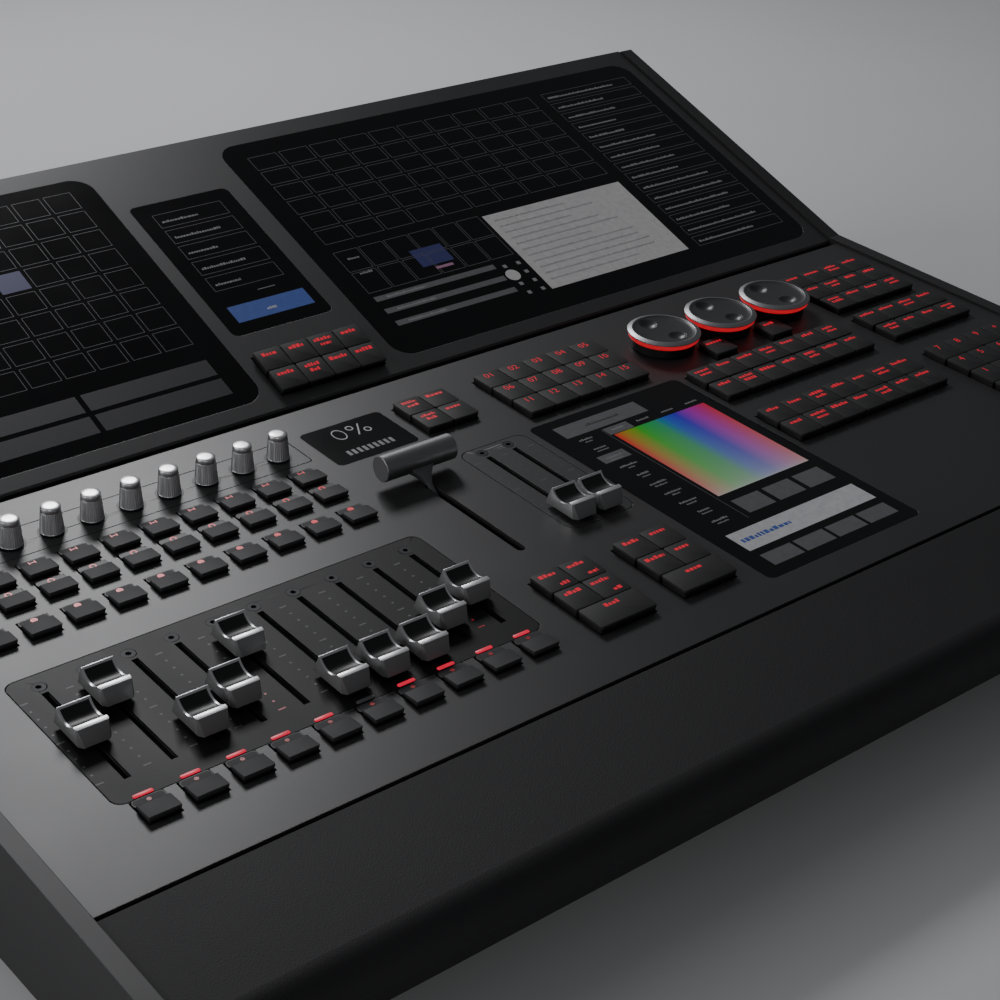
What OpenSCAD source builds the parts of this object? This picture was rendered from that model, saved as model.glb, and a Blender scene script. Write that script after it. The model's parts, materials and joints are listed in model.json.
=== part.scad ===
/* [Desk] */
// Overall width of the desk over its side cheeks
desk_w = 680; // [660:1:700]
// Overall depth of the desk
desk_d = 560; // [556:1:566]
// Height of the control deck at its datum
deck_h = 76; // [70:1:84]
// Slope of the control deck, rising to the back, in degrees
deck_slope = 4.3; // [3:0.1:6]
// How much steeper the screen deck is than the control deck, in degrees
screen_tilt = 17.85; // [14:0.05:20]
// Length of the screen deck along its slope
screen_len = 218; // [210:1:219]
// Thickness of each side cheek
cheek_t = 8; // [5:1:9]
// Height of the rubber feet
foot_h = 8; // [6:1:12]

/* [Control plate] */
// Thickness of the control plate
plate_t = 3; // [2.5:0.5:4]
// Where the plate meets the armrest, from the datum
plate_front = -154.4; // [-156:0.1:-152]
// Rear edge of the plate, from the datum
plate_rear = 112.9; // [111:0.1:114]
// Depth of the pockets that hold the inlaid panels
inlay_t = 1; // [0.8:0.1:1.5]

/* [Faders] */
// Number of playback columns
columns = 10; // [10:1:10]
// Distance between two columns
pitch = 20; // [19:0.5:22]
// Travel of a fader
fader_travel = 60; // [60:1:60]
// Rear end of the travel of a playback fader, from the datum
fader_top = -32.5; // [-34:0.5:-32]
// Rear end of the travel of a master fader, from the datum
master_top = 18.5; // [17:0.5:19]
// Width of a fader slot
slot_w = 3; // [2.6:0.1:3.2]
// Length of a fader cap
cap_l = 21.8; // [20:0.2:23]
// Width of a fader cap
cap_w = 14.2; // [13:0.2:15]
// Height of a fader cap
cap_h = 8.9; // [8:0.1:10]

/* [Crossfade lever] */
// Length of the lever's grip
grip_l = 41.2; // [38:0.2:46]
// Diameter of the lever's grip
grip_d = 12.8; // [11:0.2:13]
// Distance from the lever's pivot to the middle of its grip
lever_r = 58.3; // [56:0.1:60]
// Angle that the lever leans to each side of upright, in degrees
lever_lean = 51; // [45:1:51]
// Depth of the lever's pivot under the deck
lever_pivot = 26.6; // [25:0.1:28]

/* [Keys] */
// Distance between two square keys
key_pitch = 16.4; // [16.2:0.1:16.6]
// Gap between two square keys
key_gap = 0.4; // [0.4:0.1:1.4]
// Height of a square key above the deck
key_h = 3.8; // [3.2:0.2:5]
// Travel of every key
key_travel = 2.5; // [2:0.1:2.5]
// Width of a small playback key
small_w = 13.8; // [13:0.1:14.2]
// Length of a small playback key
small_l = 14.6; // [14:0.1:15]

/* [Knobs and wheels] */
// Diameter of a parameter wheel
wheel_d = 40.6; // [38:0.2:41]
// Height of a parameter wheel's rim above the deck
wheel_top = 11; // [10:0.2:12.4]
// Distance between two wheels
wheel_pitch = 43.3; // [42:0.1:45]
// Diameter of a knob at its foot
knob_d = 11.2; // [10:0.1:12]
// Height of a knob
knob_h = 13; // [11:0.5:15]

/* [Hidden] */
$fn = 48;
eps = 0.01;
clear = 0.3;
run = 0.05;
floor_t = 2;
sheet = 2.5;
// the deck datum is the middle of the last playback column
datum_x = -105;
// the armrest's front edge, from the datum, touches the front of the desk
arm_front = -226;
datum_y = -desk_d/2 - arm_front*cos(deck_slope);
inner_l = -desk_w/2 + cheek_t - datum_x;
inner_r = desk_w/2 - cheek_t - datum_x;
plate_l = inner_l + clear;
plate_r = inner_r - clear;

// the front edge of the screen deck and its hinge, along the slope and out of it
screen_y = 117;
screen_z = -0.8;
screen_front = 1.5;
screen_hinge = [7, -5.5];
screen_depth = 26;
pin_r = 3;

// playback columns, counted from the left
function column_x(n) = (n - columns)*pitch;
// how far each playback fader is from the rear end of its travel, as drawn
fader_rest = [30, 12, 50, 41.5, 13.5, 59, 59, 59, 45.5, 36.25];
master_x = [84.6, 101.1];
master_rest = 60;
bank = [-192, -108.2, 11.6, -16.9];
masters = [73, -55.2, 114, 30.9];
knob_strip = [-192, 65.7, 12.3, 89.5];
status = [20, 53.5, 68, 90];
palette = [118.7, -137.6, 220.7, 31.8];
knob_y = 77.6;
small_rows = [45.4, 28.1, 4.8];
flash_y = -123.4;

// crossfade lever
lever_x = 43.8;
lever_y = -19.4;
lever_slot = [lever_y - 36, lever_y + 36];
lever_slot_w = 4.6;
lever_blade = 2.2;
lever_side = 2.4;
lever_pin = 2.5;

// wheels
wheel_x = [for (i = [0:2]) 242.6 + i*wheel_pitch];
wheel_y = 64.8;
wheel_foot = 1;
wheel_rim = 1.8;
wheel_skirt = 3.3;
dimple_at = [[-2, 10.4], [2, -8.4]];

// square keys: each block is its left and front edges, columns and rows
key_w = key_pitch - key_gap;
record_pitch = 16;
record_at = [74.8, 55.4];
macro_at = [127.9, 39.5];
duo_pitch = 16.2;
transport_at = [[27.2, -110.6], [75.8, -110.6]];
wide_at = [for (at = transport_at) [at[0], at[1] - duo_pitch]];
wide_w = 2*duo_pitch - key_gap;
menu_at = [35.3, 10.7];
menu_step = [16.4, 15.3];
command_at = [[225.6, 13.5, 7, 1], [225.6, -3.7, 7, 1], [225.6, -55.3, 7, 2],
    [357.3, -3.7, 4, 1], [357.3, 13.5, 4, 1], [357.3, 39.3, 4, 3]];
between_at = [for (i = [0:1]) [wheel_x[i] + wheel_pitch/2 - key_w/2, 35.6]];
number_at = [357.3, -104.5];
number_size = [4, 5];

// screens on the screen deck: left, front, right and rear edges
main_glass = [111, 12, 429, 204];
side_glass = [-214, 12, 27, 204];
menu_glass = [35.8, 58, 98.2, 171];
screen_bezel = 5;

board_z = -13;
board_t = 1.6;
foot_r = 11;
foot_at = [for (x = [-300, 0, 300], y = [-215, 235]) [x, y]];

function numbered(name, n) = str(name, n < 10 ? "0" : "", n);

// a point of the deck's side view, in the desk's own side view
function side(y, z) = [
    datum_y + y*cos(deck_slope) - z*sin(deck_slope),
    deck_h + y*sin(deck_slope) + z*cos(deck_slope)];
// a point of the screen deck's side view, in the desk's own side view
function screen_side(s, h) = side(
    screen_y + s*cos(screen_tilt) - h*sin(screen_tilt),
    screen_z + s*sin(screen_tilt) + h*cos(screen_tilt));

module on_deck() {
    translate([datum_x, datum_y, deck_h]) rotate([deck_slope, 0, 0]) children();
}
module on_screen() {
    on_deck() translate([0, screen_y, screen_z]) rotate([screen_tilt, 0, 0]) children();
}

// a side view, extruded across the desk from x0 to x1
module across(x0, x1) {
    translate([x0, 0, 0]) rotate([90, 0, 90]) linear_extrude(x1 - x0) children();
}

// a box given by its edges [left, front, right, rear] and two heights
module slab(edges, z0, z1, grow = 0) {
    translate([edges[0] - grow, edges[1] - grow, z0])
        cube([edges[2] - edges[0] + 2*grow, edges[3] - edges[1] + 2*grow, z1 - z0]);
}

// the same box with round upright corners
module round_slab(edges, z0, z1, r, grow = 0) {
    w = edges[2] - edges[0] + 2*grow;
    d = edges[3] - edges[1] + 2*grow;
    rr = r + grow;
    translate([edges[0] - grow, edges[1] - grow, z0]) linear_extrude(z1 - z0) union() {
        translate([rr, 0]) square([w - 2*rr, d]);
        translate([0, rr]) square([w, d - 2*rr]);
        for (x = [rr, w - rr], y = [rr, d - rr]) translate([x, y]) circle(rr);
    }
}

// ---------- casing ----------

cheek_lip = 2;
cheek_face = [side(arm_front, -4), side(arm_front + 4, cheek_lip - 1),
    side(plate_rear + 6, cheek_lip), screen_side(screen_len - 4, cheek_lip),
    screen_side(screen_len + 1, -3)];

module cheek(x0) {
    across(x0, x0 + cheek_t) difference() {
        polygon(concat([[-desk_d/2 + 30, foot_h], [-desk_d/2, foot_h + 26]], cheek_face,
            [[desk_d/2, deck_h + 60], [desk_d/2, foot_h + 10], [desk_d/2 - 8, foot_h]]));
        translate(screen_side(screen_hinge[0], screen_hinge[1])) circle(pin_r);
    }
}
module left_cheek() { color([0.08, 0.08, 0.09]) cheek(-desk_w/2); }
module right_cheek() { color([0.08, 0.08, 0.09]) cheek(desk_w/2 - cheek_t); }

tray_w = desk_w - 2*cheek_t;
tray_front = -desk_d/2 + 34;
rear_y = desk_d/2 - 6;
rear_top = 138;
module base_tray() {
    color([0.1, 0.1, 0.11]) difference() {
        union() {
            translate([-tray_w/2, tray_front, foot_h])
                cube([tray_w, rear_y - tray_front, floor_t]);
            translate([-tray_w/2, tray_front, foot_h]) cube([tray_w, sheet, 24]);
            for (m = [0, 1]) mirror([m, 0, 0])
                translate([tray_w/2 - sheet, tray_front, foot_h])
                    cube([sheet, rear_y - tray_front, 24]);
        }
        for (x = [-220:20:-100], y = [60, 90, 120]) translate([x, y, foot_h - 1])
            cube([12, 4, floor_t + 2]);
    }
}

module rubber_feet() {
    color([0.03, 0.03, 0.03]) for (p = foot_at) translate([p[0], p[1], 0])
        cylinder(h = foot_h, r1 = foot_r - 1, r2 = foot_r);
}

arm_under = 26;
arm_gap = 1;
arm_bevel = 1.2;
module armrest() {
    color([0.05, 0.05, 0.055]) across(-tray_w/2 + clear, tray_w/2 - clear) {
        polygon([side(plate_front - arm_gap, -arm_bevel),
            side(plate_front - arm_gap - arm_bevel, 0), side(arm_front + 12, 0),
            side(arm_front + 1, -9), side(arm_front + 0.6, -12),
            side(arm_front + 3, -arm_under), side(plate_front - arm_gap, -arm_under)]);
        translate(side(arm_front + 12, -12)) circle(12);
    }
}

// ---------- control plate ----------

module square_keys(at, n, m, p = key_pitch) {
    for (i = [0:n-1], j = [0:m-1]) translate([at[0] + i*p, at[1] + j*p, 0]) children();
}
module key_window(at, n, m, p = key_pitch) {
    slab([at[0], at[1], at[0] + n*p - key_gap, at[1] + m*p - key_gap], -plate_t - 1, 1, clear);
}

module key_windows() {
    key_window(record_at, 2, 2, record_pitch);
    key_window(macro_at, 5, 3);
    for (at = wide_at) key_window(at, 2, 3, duo_pitch);
    for (b = command_at) key_window([b[0], b[1]], b[2], b[3]);
    for (b = between_at) key_window(b, 1, 1);
    key_window(number_at, number_size[0], number_size[1]);
    for (n = [1:columns], y = concat(small_rows, [flash_y]))
        slab([column_x(n) - small_w/2, y, column_x(n) + small_w/2, y + small_l],
            -plate_t - 1, 1, clear);
}

module fader_slot(x, top, w = slot_w) {
    slab([x - w/2, top - fader_travel - 3, x + w/2, top + 2.5], -plate_t - 1, 1);
}
module screw_hole(x, y) {
    translate([x, y, -1.6]) cylinder(h = 3, r = 3.2);
    translate([x, y, -plate_t - 1]) cylinder(h = 6, r = 1.6);
}
screw_gap = 7.2;
module fader_holes() {
    for (n = [1:columns]) {
        fader_slot(column_x(n), fader_top);
        screw_hole(column_x(n), fader_top + screw_gap);
    }
    for (x = master_x) {
        fader_slot(x, master_top);
        screw_hole(x, master_top + screw_gap);
    }
}

module control_plate() {
    color([0.16, 0.16, 0.175]) on_deck() difference() {
        union() {
            slab([plate_l, plate_front, plate_r, plate_rear], -plate_t, 0);
            slab([plate_l, plate_rear - sheet, plate_r, plate_rear], -20, -plate_t + eps);
            slab([plate_l, plate_front, plate_r, plate_front + sheet], -20, -plate_t + eps);
        }
        round_slab(bank, -inlay_t, 1, 5, 0.1);
        round_slab(masters, -inlay_t, 1, 6, 0.1);
        round_slab(knob_strip, -inlay_t, 1, 2, 0.1);
        round_slab(status, -inlay_t, 1, 3, 0.1);
        slab(status, -plate_t - 1, 0, -3);
        round_slab(palette, -inlay_t, 1, 4, 0.1);
        slab(palette, -plate_t - 1, 0, -3);
        key_windows();
        fader_holes();
        hull() for (y = [lever_slot[0] + lever_slot_w/2, lever_slot[1] - lever_slot_w/2])
            translate([lever_x, y, -plate_t - 1]) cylinder(h = plate_t + 2, r = lever_slot_w/2);
        for (n = [1:columns]) translate([column_x(n), knob_y, -plate_t - 1])
            cylinder(h = 6, r = 3.5);
        for (x = wheel_x) translate([x, wheel_y, -plate_t - 1]) cylinder(h = 6, r = 3.5);
    }
}

module fader_panels() {
    color([0.03, 0.03, 0.035]) on_deck() {
        difference() {
            round_slab(bank, -inlay_t, 0, 5);
            fader_holes();
        }
        difference() {
            round_slab(masters, -inlay_t, 0, 6);
            fader_holes();
        }
        difference() {
            round_slab(knob_strip, -inlay_t, 0, 2);
            for (n = [1:columns]) translate([column_x(n), knob_y, -2])
                cylinder(h = 4, r = 3.5);
        }
    }
}

track_w = 13;
track_depth = 13;
module fader_track(x, top) {
    difference() {
        slab([x - track_w/2, top - fader_travel - 8, x + track_w/2, top + 12],
            -plate_t - track_depth, -plate_t);
        slab([x - slot_w/2, top - fader_travel - 4, x + slot_w/2, top + 3.5],
            -plate_t - track_depth + 1.5, 0);
        translate([x, top + screw_gap, -plate_t - 8]) cylinder(h = 10, r = 1.5);
    }
}
module fader_tracks() {
    color([0.6, 0.6, 0.62]) on_deck() {
        for (n = [1:columns]) fader_track(column_x(n), fader_top);
        for (x = master_x) fader_track(x, master_top);
    }
}

// ---------- displays ----------

module status_display() {
    color([0.02, 0.02, 0.025]) on_deck() {
        round_slab(status, -inlay_t, 0, 3);
        slab(status, -8, -inlay_t + eps, -3.4);
    }
}
module palette_screen() {
    color([0.02, 0.02, 0.025]) on_deck() {
        round_slab(palette, -inlay_t, 0, 4);
        slab(palette, -10, -inlay_t + eps, -3.4);
    }
}

// ---------- electronics ----------

boards = [[-198, -2, 18, 66], [67, 47, 116, 92], [118.5, 33, 218, 92],
    [16, -140, 116, -68], [220, -64, 346, 56], [348, -114, 430, 95]];
board_front = -60;
encoder_w = 12;
module encoder(x, y) {
    difference() {
        slab([x - encoder_w/2, y - encoder_w/2, x + encoder_w/2, y + encoder_w/2],
            -plate_t - 9, -plate_t);
        translate([x, y, -plate_t - 7]) cylinder(h = 8, r = 3 + run);
    }
}
// the switch under the middle of a key that is w wide
module key_switch(w) {
    translate([w/2 - 3, key_w/2 - 3, board_z + board_t - eps])
        cube([6, 6, -9.5 - board_z - board_t]);
}
module control_boards() {
    color([0.06, 0.2, 0.1]) on_deck() {
        for (b = boards) {
            slab(b, board_z, board_z + board_t);
            // posts that hang the board from the plate, clear of its keys
            for (x = [b[0] + 4, b[2] - 4], y = [b[1] + 4, b[3] - 4])
                translate([x, y, board_z]) cylinder(h = -plate_t - board_z, r = 1.8);
        }
        for (n = [1:columns]) encoder(column_x(n), knob_y);
        for (x = wheel_x) encoder(x, wheel_y);
        square_keys(record_at, 2, 2, record_pitch) key_switch(key_w);
        square_keys(macro_at, 5, 3) key_switch(key_w);
        for (at = transport_at) square_keys(at, 2, 2, duo_pitch) key_switch(key_w);
        for (at = wide_at) translate([at[0], at[1], 0]) key_switch(wide_w);
        for (b = command_at) if (b[1] > board_front) square_keys([b[0], b[1]], b[2], b[3])
            key_switch(key_w);
        square_keys(number_at, number_size[0], number_size[1]) key_switch(key_w);
        for (n = [1:columns], y = small_rows) translate([column_x(n) - small_w/2, y, 0])
            key_switch(small_w);
    }
}

module main_board() {
    color([0.06, 0.2, 0.1]) translate([0, 0, foot_h + floor_t]) {
        translate([-160, 80, 8]) cube([240, 150, board_t]);
        for (x = [-152, 72], y = [88, 222]) translate([x, y, 0])
            cylinder(h = 8 + eps, r = 3);
        // finned heat sink and two memory cards
        translate([-60, 120, 8 + board_t - eps]) cube([60, 60, 4]);
        for (i = [0:9]) translate([-60 + i*6, 120, 12]) cube([2, 60, 16]);
        for (x = [20, 34]) translate([x, 130, 8 + board_t - eps]) cube([6, 80, 18]);
    }
}
module power_supply() {
    color([0.55, 0.56, 0.58]) translate([160, 110, foot_h + floor_t]) difference() {
        cube([120, 100, 42]);
        for (i = [0:7]) translate([14 + i*12, 20, 40]) cube([5, 60, 4]);
    }
}

// ---------- rear ----------

socket_z = 70;
xlr_x = [-250, -215, -180, -145];
net_x = [-60, -30];
inlet_x = 220;
inlet = [27.5, 20];
inlet_z = 46;
module rear_panel() {
    color([0.08, 0.08, 0.09]) difference() {
        union() {
            translate([-tray_w/2, rear_y, foot_h + floor_t])
                cube([tray_w, 3, rear_top - foot_h - floor_t]);
            translate([-tray_w/2, rear_y, foot_h]) cube([tray_w, 3, floor_t + eps]);
        }
        for (x = xlr_x) translate([x, rear_y - 1, socket_z])
            rotate([-90, 0, 0]) cylinder(h = 5, r = 12);
        for (x = net_x) translate([x - 8, rear_y - 1, socket_z - 7]) cube([16, 5, 14]);
        translate([inlet_x - inlet[0]/2, rear_y - 1, inlet_z - inlet[1]/2])
            cube([inlet[0], 5, inlet[1]]);
        for (i = [0:11]) translate([40 + i*9, rear_y - 1, 90]) cube([4, 5, 30]);
    }
}

module xlr_socket() {
    rotate([-90, 0, 0]) difference() {
        union() {
            cylinder(h = 3, r = 12);
            translate([-13, -15.5, 3 - eps]) cube([26, 31, 1.2]);
            translate([0, 0, -14]) cylinder(h = 14 + eps, r = 11);
        }
        // the annular slot that takes the plug's shell
        translate([0, 0, -9]) difference() {
            cylinder(h = 20, r = 9.6);
            translate([0, 0, -1]) cylinder(h = 22, r = 7.4);
        }
        for (i = [0:4]) rotate([0, 0, 30 + i*60]) translate([4.4, 0, -8])
            cylinder(h = 20, r = 1.3);
    }
}
net_open = [11.8, 9, 13];
module net_socket() {
    difference() {
        translate([-8, -14, -7]) cube([16, 17, 14]);
        translate([-net_open[0]/2, 3 - net_open[2], -net_open[1]/2])
            cube([net_open[0], net_open[2] + 1, net_open[1]]);
    }
}
inlet_deep = 15;
module power_inlet() {
    difference() {
        union() {
            translate([-inlet[0]/2, -18, -inlet[1]/2]) cube([inlet[0], 21, inlet[1]]);
            translate([-inlet[0]/2 - 10, 3 - eps, -inlet[1]/2 - 2])
                cube([inlet[0] + 20, 1.5, inlet[1] + 4]);
        }
        translate([-12, 3 - inlet_deep, -8.2]) cube([24, inlet_deep + 4, 16.4]);
    }
    for (p = [[-7, -2], [7, -2], [0, 2]])
        translate([p[0] - 1, 3 - inlet_deep - eps, p[1] - 2]) cube([2, inlet_deep - 5.5, 4]);
}
module rear_sockets() {
    color([0.5, 0.5, 0.52]) {
        for (x = xlr_x) translate([x, rear_y, socket_z]) xlr_socket();
        for (x = net_x) translate([x, rear_y, socket_z]) net_socket();
        translate([inlet_x, rear_y, inlet_z]) power_inlet();
    }
}

// ---------- fasteners ----------

module case_screws() {
    color([0.2, 0.2, 0.21]) {
        on_deck() {
            for (n = [1:columns]) fader_screw(column_x(n), fader_top + screw_gap);
            for (x = master_x) fader_screw(x, master_top + screw_gap);
        }
        for (x = [-310, -105, 105, 310], z = [24, 128])
            translate([x, rear_y + 3, z]) rotate([-90, 0, 0]) button_screw();
    }
}
module fader_screw(x, y) {
    translate([x, y, 0]) difference() {
        union() {
            translate([0, 0, -1.6]) cylinder(h = 1.6, r = 3.15);
            translate([0, 0, -plate_t - 6]) cylinder(h = plate_t + 5, r = 1.5);
        }
        translate([0, 0, -1.1]) cylinder(h = 2, r = 1.3, $fn = 6);
    }
}
module button_screw() {
    difference() {
        cylinder(h = 1.8, r = 3.5);
        translate([0, 0, 0.7]) cylinder(h = 2, r = 1.3, $fn = 6);
    }
}

// ---------- screen deck ----------

screen_w = [inner_l + clear, inner_r - clear];
wall = 3;
ear = 8;
pin_in = 6.5;
edge_bevel = 1;
module screen_deck() {
    color([0.14, 0.14, 0.155]) on_screen() difference() {
        translate([screen_w[0], 0, 0]) rotate([90, 0, 90]) linear_extrude(screen_w[1] - screen_w[0])
            polygon([[screen_front, -screen_depth + 2], [screen_len, -screen_depth + 2],
                [screen_len, -edge_bevel], [screen_len - edge_bevel, 0],
                [screen_front + edge_bevel, 0], [screen_front, -edge_bevel]]);
        // the hollow behind the screens
        slab([screen_w[0] + ear, screen_front + wall + 10, screen_w[1] - ear,
            screen_len - wall], -screen_depth, -wall);
        slab([screen_w[0] + ear, screen_front + wall, screen_w[1] - ear,
            screen_front + wall + 11], -screen_depth, -12);
        for (g = [main_glass, side_glass]) {
            round_slab(g, -1.5, 1, 12, 0.1);
            slab(g, -wall - 1, 0, -screen_bezel);
        }
        round_slab(menu_glass, -1.5, 1, 4, 0.1);
        slab(menu_glass, -wall - 1, 0, -3);
        slab([menu_at[0], menu_at[1], menu_at[0] + 4*menu_step[0] - key_gap,
            menu_at[1] + 2*menu_step[1] - key_gap], -14, 1, clear);
        slab([menu_at[0] - 6, menu_at[1] - 4, menu_at[0] + 4*menu_step[0] + 6,
            menu_at[1] + 40], -screen_depth, -wall);
        for (x = [screen_w[0] - 1, screen_w[1] - ear - 1])
            translate([x, screen_hinge[0], screen_hinge[1]]) rotate([0, 90, 0])
                cylinder(h = ear + 2, r = pin_r + run);
    }
}
module screen_deck_cover() {
    color([0.1, 0.1, 0.11]) on_screen() difference() {
        slab([screen_w[0] + 1, screen_front + 1, screen_w[1] - 1, screen_len - 1],
            -screen_depth, -screen_depth + 2);
        for (i = [0:15]) slab([-80 + i*12, 120, -76 + i*12, 180],
            -screen_depth - 1, -screen_depth + 3);
    }
}
module deck_screen(g, r, inset) {
    on_screen() {
        round_slab(g, -1.5, 0, r);
        slab(g, -12, -1.5 + eps, -inset - 0.4);
    }
}
module main_screen() { color([0.02, 0.02, 0.025]) deck_screen(main_glass, 12, screen_bezel); }
module side_screen() { color([0.02, 0.02, 0.025]) deck_screen(side_glass, 12, screen_bezel); }
module menu_screen() { color([0.02, 0.02, 0.025]) deck_screen(menu_glass, 4, 3); }

module hinge_pins() {
    color([0.7, 0.7, 0.72]) on_screen() {
        // each pin starts 1 mm inside the cheek's face and ends in the deck's ear
        for (x = [inner_l - cheek_t + 1, inner_r - pin_in]) translate([x, screen_hinge[0],
            screen_hinge[1]]) rotate([0, 90, 0])
            cylinder(h = cheek_t - 1 + pin_in, r = pin_r);
    }
}

// ---------- crossfade lever ----------

hub_r = 7;
bracket_x = 9;
module on_pivot() {
    on_deck() translate([lever_x, lever_y, -lever_pivot]) children();
}
module lever_bracket() {
    color([0.6, 0.6, 0.62]) on_pivot() {
        for (m = [0, 1]) mirror([m, 0, 0]) translate([bracket_x - 2, -26, -8])
            cube([2, 52, lever_pivot + 8 - plate_t]);
        translate([-bracket_x, 0, 0]) rotate([0, 90, 0])
            cylinder(h = 2*bracket_x, r = lever_pin);
    }
}
module lever_stem() {
    top = lever_r - 2;
    flare = 47;
    color([0.3, 0.3, 0.32]) on_pivot() rotate([-lever_lean, 0, 0]) difference() {
        union() {
            translate([-4, 0, 0]) rotate([0, 90, 0]) cylinder(h = 8, r = hub_r);
            translate([-lever_side/2, -3, 0]) cube([lever_side, 6, 34]);
            translate([-lever_side/2, -lever_blade/2, 0]) cube([lever_side, lever_blade, top]);
            translate([0, 1.6, 0]) rotate([90, 0, 0]) linear_extrude(3.2)
                polygon([[-lever_side/2, flare], [lever_side/2, flare], [8, top], [-8, top]]);
        }
        translate([-5, 0, 0]) rotate([0, 90, 0]) cylinder(h = 10, r = lever_pin + run);
        translate([-grip_l, 0, lever_r]) rotate([0, 90, 0])
            cylinder(h = 2*grip_l, r = grip_d/2);
    }
}
module lever_grip() {
    color([0.1, 0.1, 0.11]) on_pivot() rotate([-lever_lean, 0, 0])
        translate([-grip_l/2, 0, lever_r]) rotate([0, 90, 0]) cylinder(h = grip_l, r = grip_d/2);
}

// ---------- faders ----------

cap_foot = 2;
dish_r = 7.7;
module fader_cap(x, y) {
    top = cap_foot + cap_h;
    color([0.62, 0.62, 0.64]) on_deck() translate([x, y, 0]) {
        difference() {
            translate([-cap_w/2, 0, 0]) rotate([90, 0, 90]) linear_extrude(cap_w)
                polygon([[cap_l/2, cap_foot], [cap_l/2 - 3.7, top], [-cap_l/2 + 2.8, top],
                    [-cap_l/2 + 2.6, top - 1.6], [-cap_l/2, cap_foot]]);
            // the finger dish, with the ridge left in front of it
            translate([-cap_w, 0.3, cap_foot + 4.9 + dish_r]) rotate([0, 90, 0])
                cylinder(h = 2*cap_w, r = dish_r);
            translate([-cap_w, -cap_l/2 - 1, top - 1.5]) cube([2*cap_w, 7, 3]);
            for (m = [0, 1]) mirror([m, 0, 0]) translate([cap_w/2, -cap_l/2 + 4.5, 0])
                rotate([0, 0, -22]) translate([0, -12, 0]) cube([6, 12, 14]);
        }
        slab([-0.6, -2.4, 0.6, 2.4], -plate_t - 9, cap_foot + eps);
    }
}

// ---------- wheels and knobs ----------

module wheel(x) {
    skirt_z = wheel_top - wheel_rim - wheel_skirt;
    color([0.1, 0.1, 0.11]) on_deck() translate([x, wheel_y, 0]) {
        difference() {
            union() {
                translate([0, 0, skirt_z + wheel_skirt]) cylinder(h = 0.5 + eps, r = wheel_d/2);
                translate([0, 0, skirt_z + wheel_skirt + 0.5])
                    cylinder(h = wheel_rim - 0.5, r1 = wheel_d/2, r2 = wheel_d/2 - 2.2);
                translate([0, 0, skirt_z]) cylinder(h = wheel_skirt + eps, r = wheel_d/2 - 0.7);
                translate([0, 0, wheel_foot]) cylinder(h = skirt_z - wheel_foot + eps, r = 17.5);
            }
            // dished top
            translate([0, 0, wheel_top - 1.6 + 80]) sphere(r = 80, $fn = 128);
            for (p = dimple_at) translate([p[0], p[1], wheel_top + 3.7]) sphere(r = 7.1);
        }
        translate([0, 0, -plate_t - 6]) cylinder(h = plate_t + 6 + wheel_foot + eps, r = 3);
    }
}
module knob(x) {
    color([0.7, 0.7, 0.72]) on_deck() translate([x, knob_y, 0]) {
        translate([0, 0, 0.5]) cylinder(h = knob_h, r1 = knob_d/2, r2 = 4.5);
        translate([0, 0, -plate_t - 6]) cylinder(h = plate_t + 7, r = 3);
    }
}

// ---------- keys ----------

module square_key(w = key_w, l = key_w) {
    translate([0, 0, -2]) cube([w, l, key_h + 2]);
    translate([w/2 - 2.5, l/2 - 2.5, -6]) cube([5, 5, 4 + eps]);
}
// a small key: a raised pad in front and a low lit window behind it
pad_l = 8.6;
module small_key(x, y) {
    translate([x - small_w/2, y, 0]) rotate([90, 0, 90]) linear_extrude(small_w)
        polygon([[0, -2], [small_l, -2], [small_l, 0.6], [pad_l + 1.6, 0.6], [pad_l, 2.6],
            [0, 3]]);
    translate([x - 2, y + small_l/2 - 2, -6]) cube([4, 4, 4 + eps]);
}
module key_grey() { color([0.17, 0.17, 0.18]) on_deck() children(); }

module record_keys() {
    w = record_pitch - key_gap;
    key_grey() square_keys(record_at, 2, 2, record_pitch) square_key(w, w);
}
module macro_keys() { key_grey() square_keys(macro_at, 5, 3) square_key(); }
module transport_keys() {
    w = duo_pitch - key_gap;
    key_grey() for (at = transport_at) square_keys(at, 2, 2, duo_pitch) square_key(w, w);
}
module wide_key(i) {
    key_grey() translate([wide_at[i][0], wide_at[i][1], 0])
        square_key(wide_w, duo_pitch - key_gap);
}
module commit_key() { wide_key(0); }
module go_key() { wide_key(1); }
module command_keys() {
    key_grey() {
        for (b = command_at) square_keys([b[0], b[1]], b[2], b[3]) square_key();
        for (b = between_at) square_keys(b, 1, 1) square_key();
    }
}
module number_keys() {
    key_grey() square_keys(number_at, number_size[0], number_size[1]) square_key();
}
module playback_keys() {
    key_grey() for (n = [1:columns], y = small_rows) small_key(column_x(n), y);
}
module flash_keys() { key_grey() for (n = [1:columns]) small_key(column_x(n), flash_y); }
module menu_keys() {
    color([0.17, 0.17, 0.18]) on_screen() for (i = [0:3], j = [0:1])
        translate([menu_at[0] + i*menu_step[0], menu_at[1] + j*menu_step[1], 0])
            square_key(menu_step[0] - key_gap, menu_step[1] - key_gap);
}

base_tray();
left_cheek();
right_cheek();
armrest();
control_plate();
rear_panel();
rear_sockets();
rubber_feet();
case_screws();
fader_panels();
fader_tracks();
control_boards();
main_board();
power_supply();
status_display();
palette_screen();
lever_bracket();
hinge_pins();
screen_deck();
screen_deck_cover();
main_screen();
side_screen();
menu_screen();
lever_stem();
lever_grip();
for (n = [1:columns]) {
    fader_cap(column_x(n), fader_top - fader_rest[n - 1]);
    knob(column_x(n));
}
fader_cap(master_x[0], master_top - master_rest);  // master_cap_left
fader_cap(master_x[1], master_top - master_rest);  // master_cap_right
for (n = [1:3]) wheel(wheel_x[n - 1]);
menu_keys();
record_keys();
macro_keys();
transport_keys();
commit_key();
go_key();
command_keys();
number_keys();
playback_keys();
flash_keys();
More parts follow.
